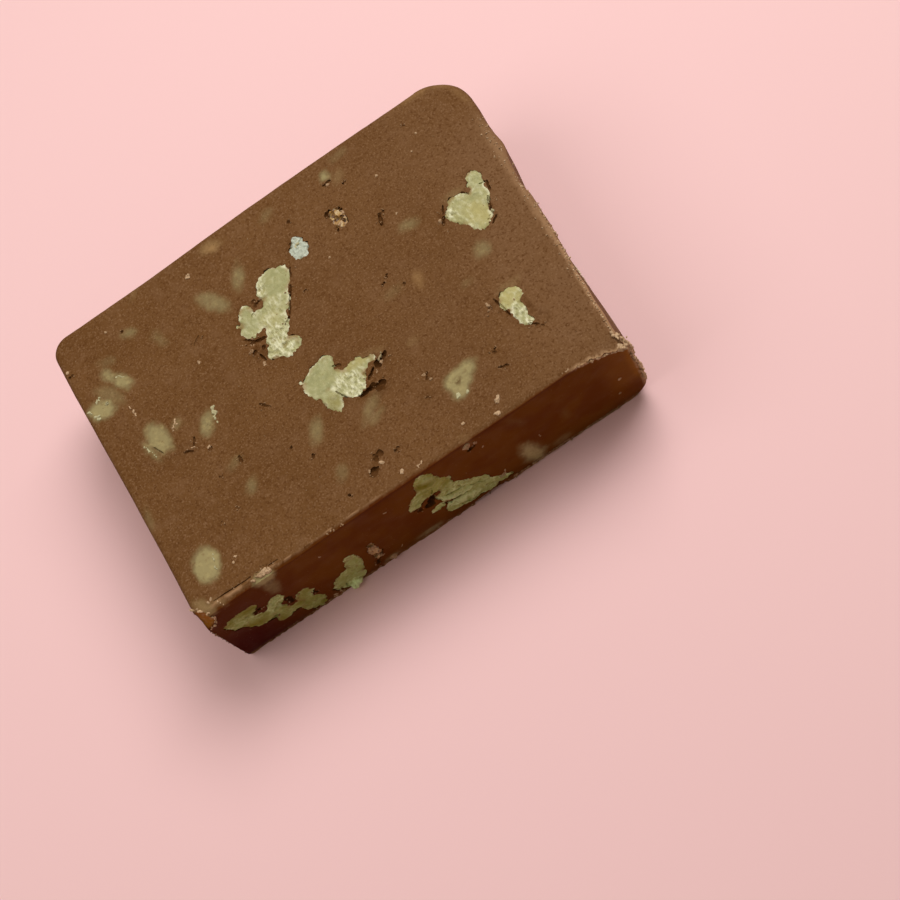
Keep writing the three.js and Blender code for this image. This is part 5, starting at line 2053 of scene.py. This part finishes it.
@dataclass
class Assembly:
    """Moves finished meshes into the frame and hides the solids that they stand for."""

    body: str = "root"
    crease: float = math.radians(38)

    @property
    def corner(self) -> Vector:
        """Give the block's front left bottom corner in the frame."""
        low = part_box("fudge")[0]
        return low + Vector((LEFT_WANDER, FRONT_CRUMBS, 0.0)) * MILLIMETRE

    def place(
        self, mesh: Mesh, finish: bpy.types.Material, slot: str, *stands_for: str
    ) -> bpy.types.Object:
        """Put one finished mesh in the scene.

        Args:
            mesh: The mesh, in millimetres from the block's corner.
            finish: Its material.
            slot: The record's material slot. It is not used.
            stands_for: The solids that it replaces.

        Returns:
            The new object.
        """
        mesh.transform(Matrix.Translation(self.corner) @ Matrix.Scale(MILLIMETRE, 4))
        mesh.materials.clear()
        mesh.materials.append(finish)
        mesh.shade_smooth()
        mesh.set_sharp_from_angle(angle=self.crease)
        made = linked(mesh)
        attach(made, self.body)
        if stands_for:
            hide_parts(*stands_for)
        LOG.info("%s placed", made.name)
        return made


@dataclass
class Studio:
    """The plain floor, the soft lights and the camera."""

    corner: Vector
    camera_from_corner: Place = (57.58, -111.60, 265.93)
    camera_aim: Place = (43.25, 0.33, 20.7)
    camera_roll: float = -40.63
    lens: float = 77.15
    sensor: float = 36.0
    nearest: float = 0.01  # nothing nearer to the camera than this is drawn, in metres
    lit: Place = (36.0, 26.0, 10.0)  # what the lights look at
    floor_half: float = 2.0
    sky: Colour = (1.0, 0.84, 0.66)
    sky_strength: float = 0.20

    def _at(self, place: Place) -> Vector:
        """Turn a place in millimetres from the block's corner into the frame's metres."""
        return self.corner + Vector(place) * MILLIMETRE

    def floor(self) -> None:
        """Lay the floor that the block rests on."""
        bm = bmesh.new()
        bmesh.ops.create_grid(bm, x_segments=1, y_segments=1, size=self.floor_half)
        mesh = mesh_from(bm, "floor")
        mesh.materials.append(FloorFinish().material())
        linked(mesh)

    def lamp(self, name: str, place: Place, size: float, power: float, tint: Colour) -> None:
        """Hang one soft square light that looks at the block.

        Args:
            name: The light's name.
            place: Where it hangs, in millimetres from the block's corner.
            size: Its side, in millimetres.
            power: Its power, in watts.
            tint: Its colour.
        """
        light = bpy.data.lights.new(name, "AREA")
        light.size = size * MILLIMETRE
        light.energy = power
        light.color = tint
        made = bpy.data.objects.new(name, light)
        made.location = self._at(place)
        aim = self._at(self.lit) - made.location
        made.rotation_euler = aim.to_track_quat("-Z", "Y").to_euler()
        bpy.context.scene.collection.objects.link(made)

    def sky_light(self) -> None:
        """Fill the shadows with an even pale light."""
        world = bpy.data.worlds.new("studio")
        world.use_nodes = True
        background = world.node_tree.nodes["Background"]
        background.inputs["Color"].default_value = (*self.sky, 1.0)
        background.inputs["Strength"].default_value = self.sky_strength
        bpy.context.scene.world = world

    def camera(self) -> None:
        """Set the camera where the photograph was taken from."""
        data = bpy.data.cameras.new("camera")
        data.lens = self.lens
        data.sensor_width = self.sensor
        data.clip_start = self.nearest
        made = bpy.data.objects.new("camera", data)
        made.location = self._at(self.camera_from_corner)
        look = (self._at(self.camera_aim) - made.location).to_track_quat("-Z", "Y")
        roll = Quaternion((0, 0, 1), math.radians(self.camera_roll))
        made.rotation_mode = "QUATERNION"
        made.rotation_quaternion = look @ roll
        bpy.context.scene.collection.objects.link(made)
        bpy.context.scene.camera = made

    def build(self) -> None:
        """Set up the whole studio."""
        self.floor()
        self.sky_light()
        self.lamp("key", (230.0, 190.0, 420.0), size=320.0, power=1.85, tint=(1.0, 0.98, 0.96))
        self.lamp("fill", (-160.0, 60.0, 330.0), size=300.0, power=0.42, tint=(1.0, 0.97, 0.95))
        self.camera()
        bpy.context.scene.view_settings.view_transform = "Standard"


def main() -> None:
    """Build the block, its pieces, its crumbs and the studio."""
    logging.basicConfig(level=logging.INFO, format="%(name)s: %(message)s")
    block = Block()
    block.shape()
    pieces = Pieces(block)
    pieces.shape()
    block.carve([pieces.pocket(piece) for piece in PIECES])
    block.paint()
    assembly = Assembly()
    fudge = FudgeFinish().material()
    bare = {Nature.PECAN: PecanFinish().material(), Nature.TOFFEE: ToffeeFinish().material()}
    crumbs = Crumbs(block)
    block.mesh.name = "fudge_look"
    assembly.place(block.mesh, fudge, "fudge", "fudge")
    for piece, mesh in pieces.finish():
        mesh.name = f"{piece.name}_look"
        assembly.place(mesh, fudge if piece.film else bare[piece.nature], piece.nature.value, piece.name)
    dried = CrumbFinish().material()
    assembly.place(crumbs.loose(), dried, "fudge")
    assembly.place(crumbs.clumps(), dried, "fudge")
    assembly.place(crumbs.crusts(), dried, "fudge")
    Studio(assembly.corner).build()


if __name__ == "__main__":
    main()
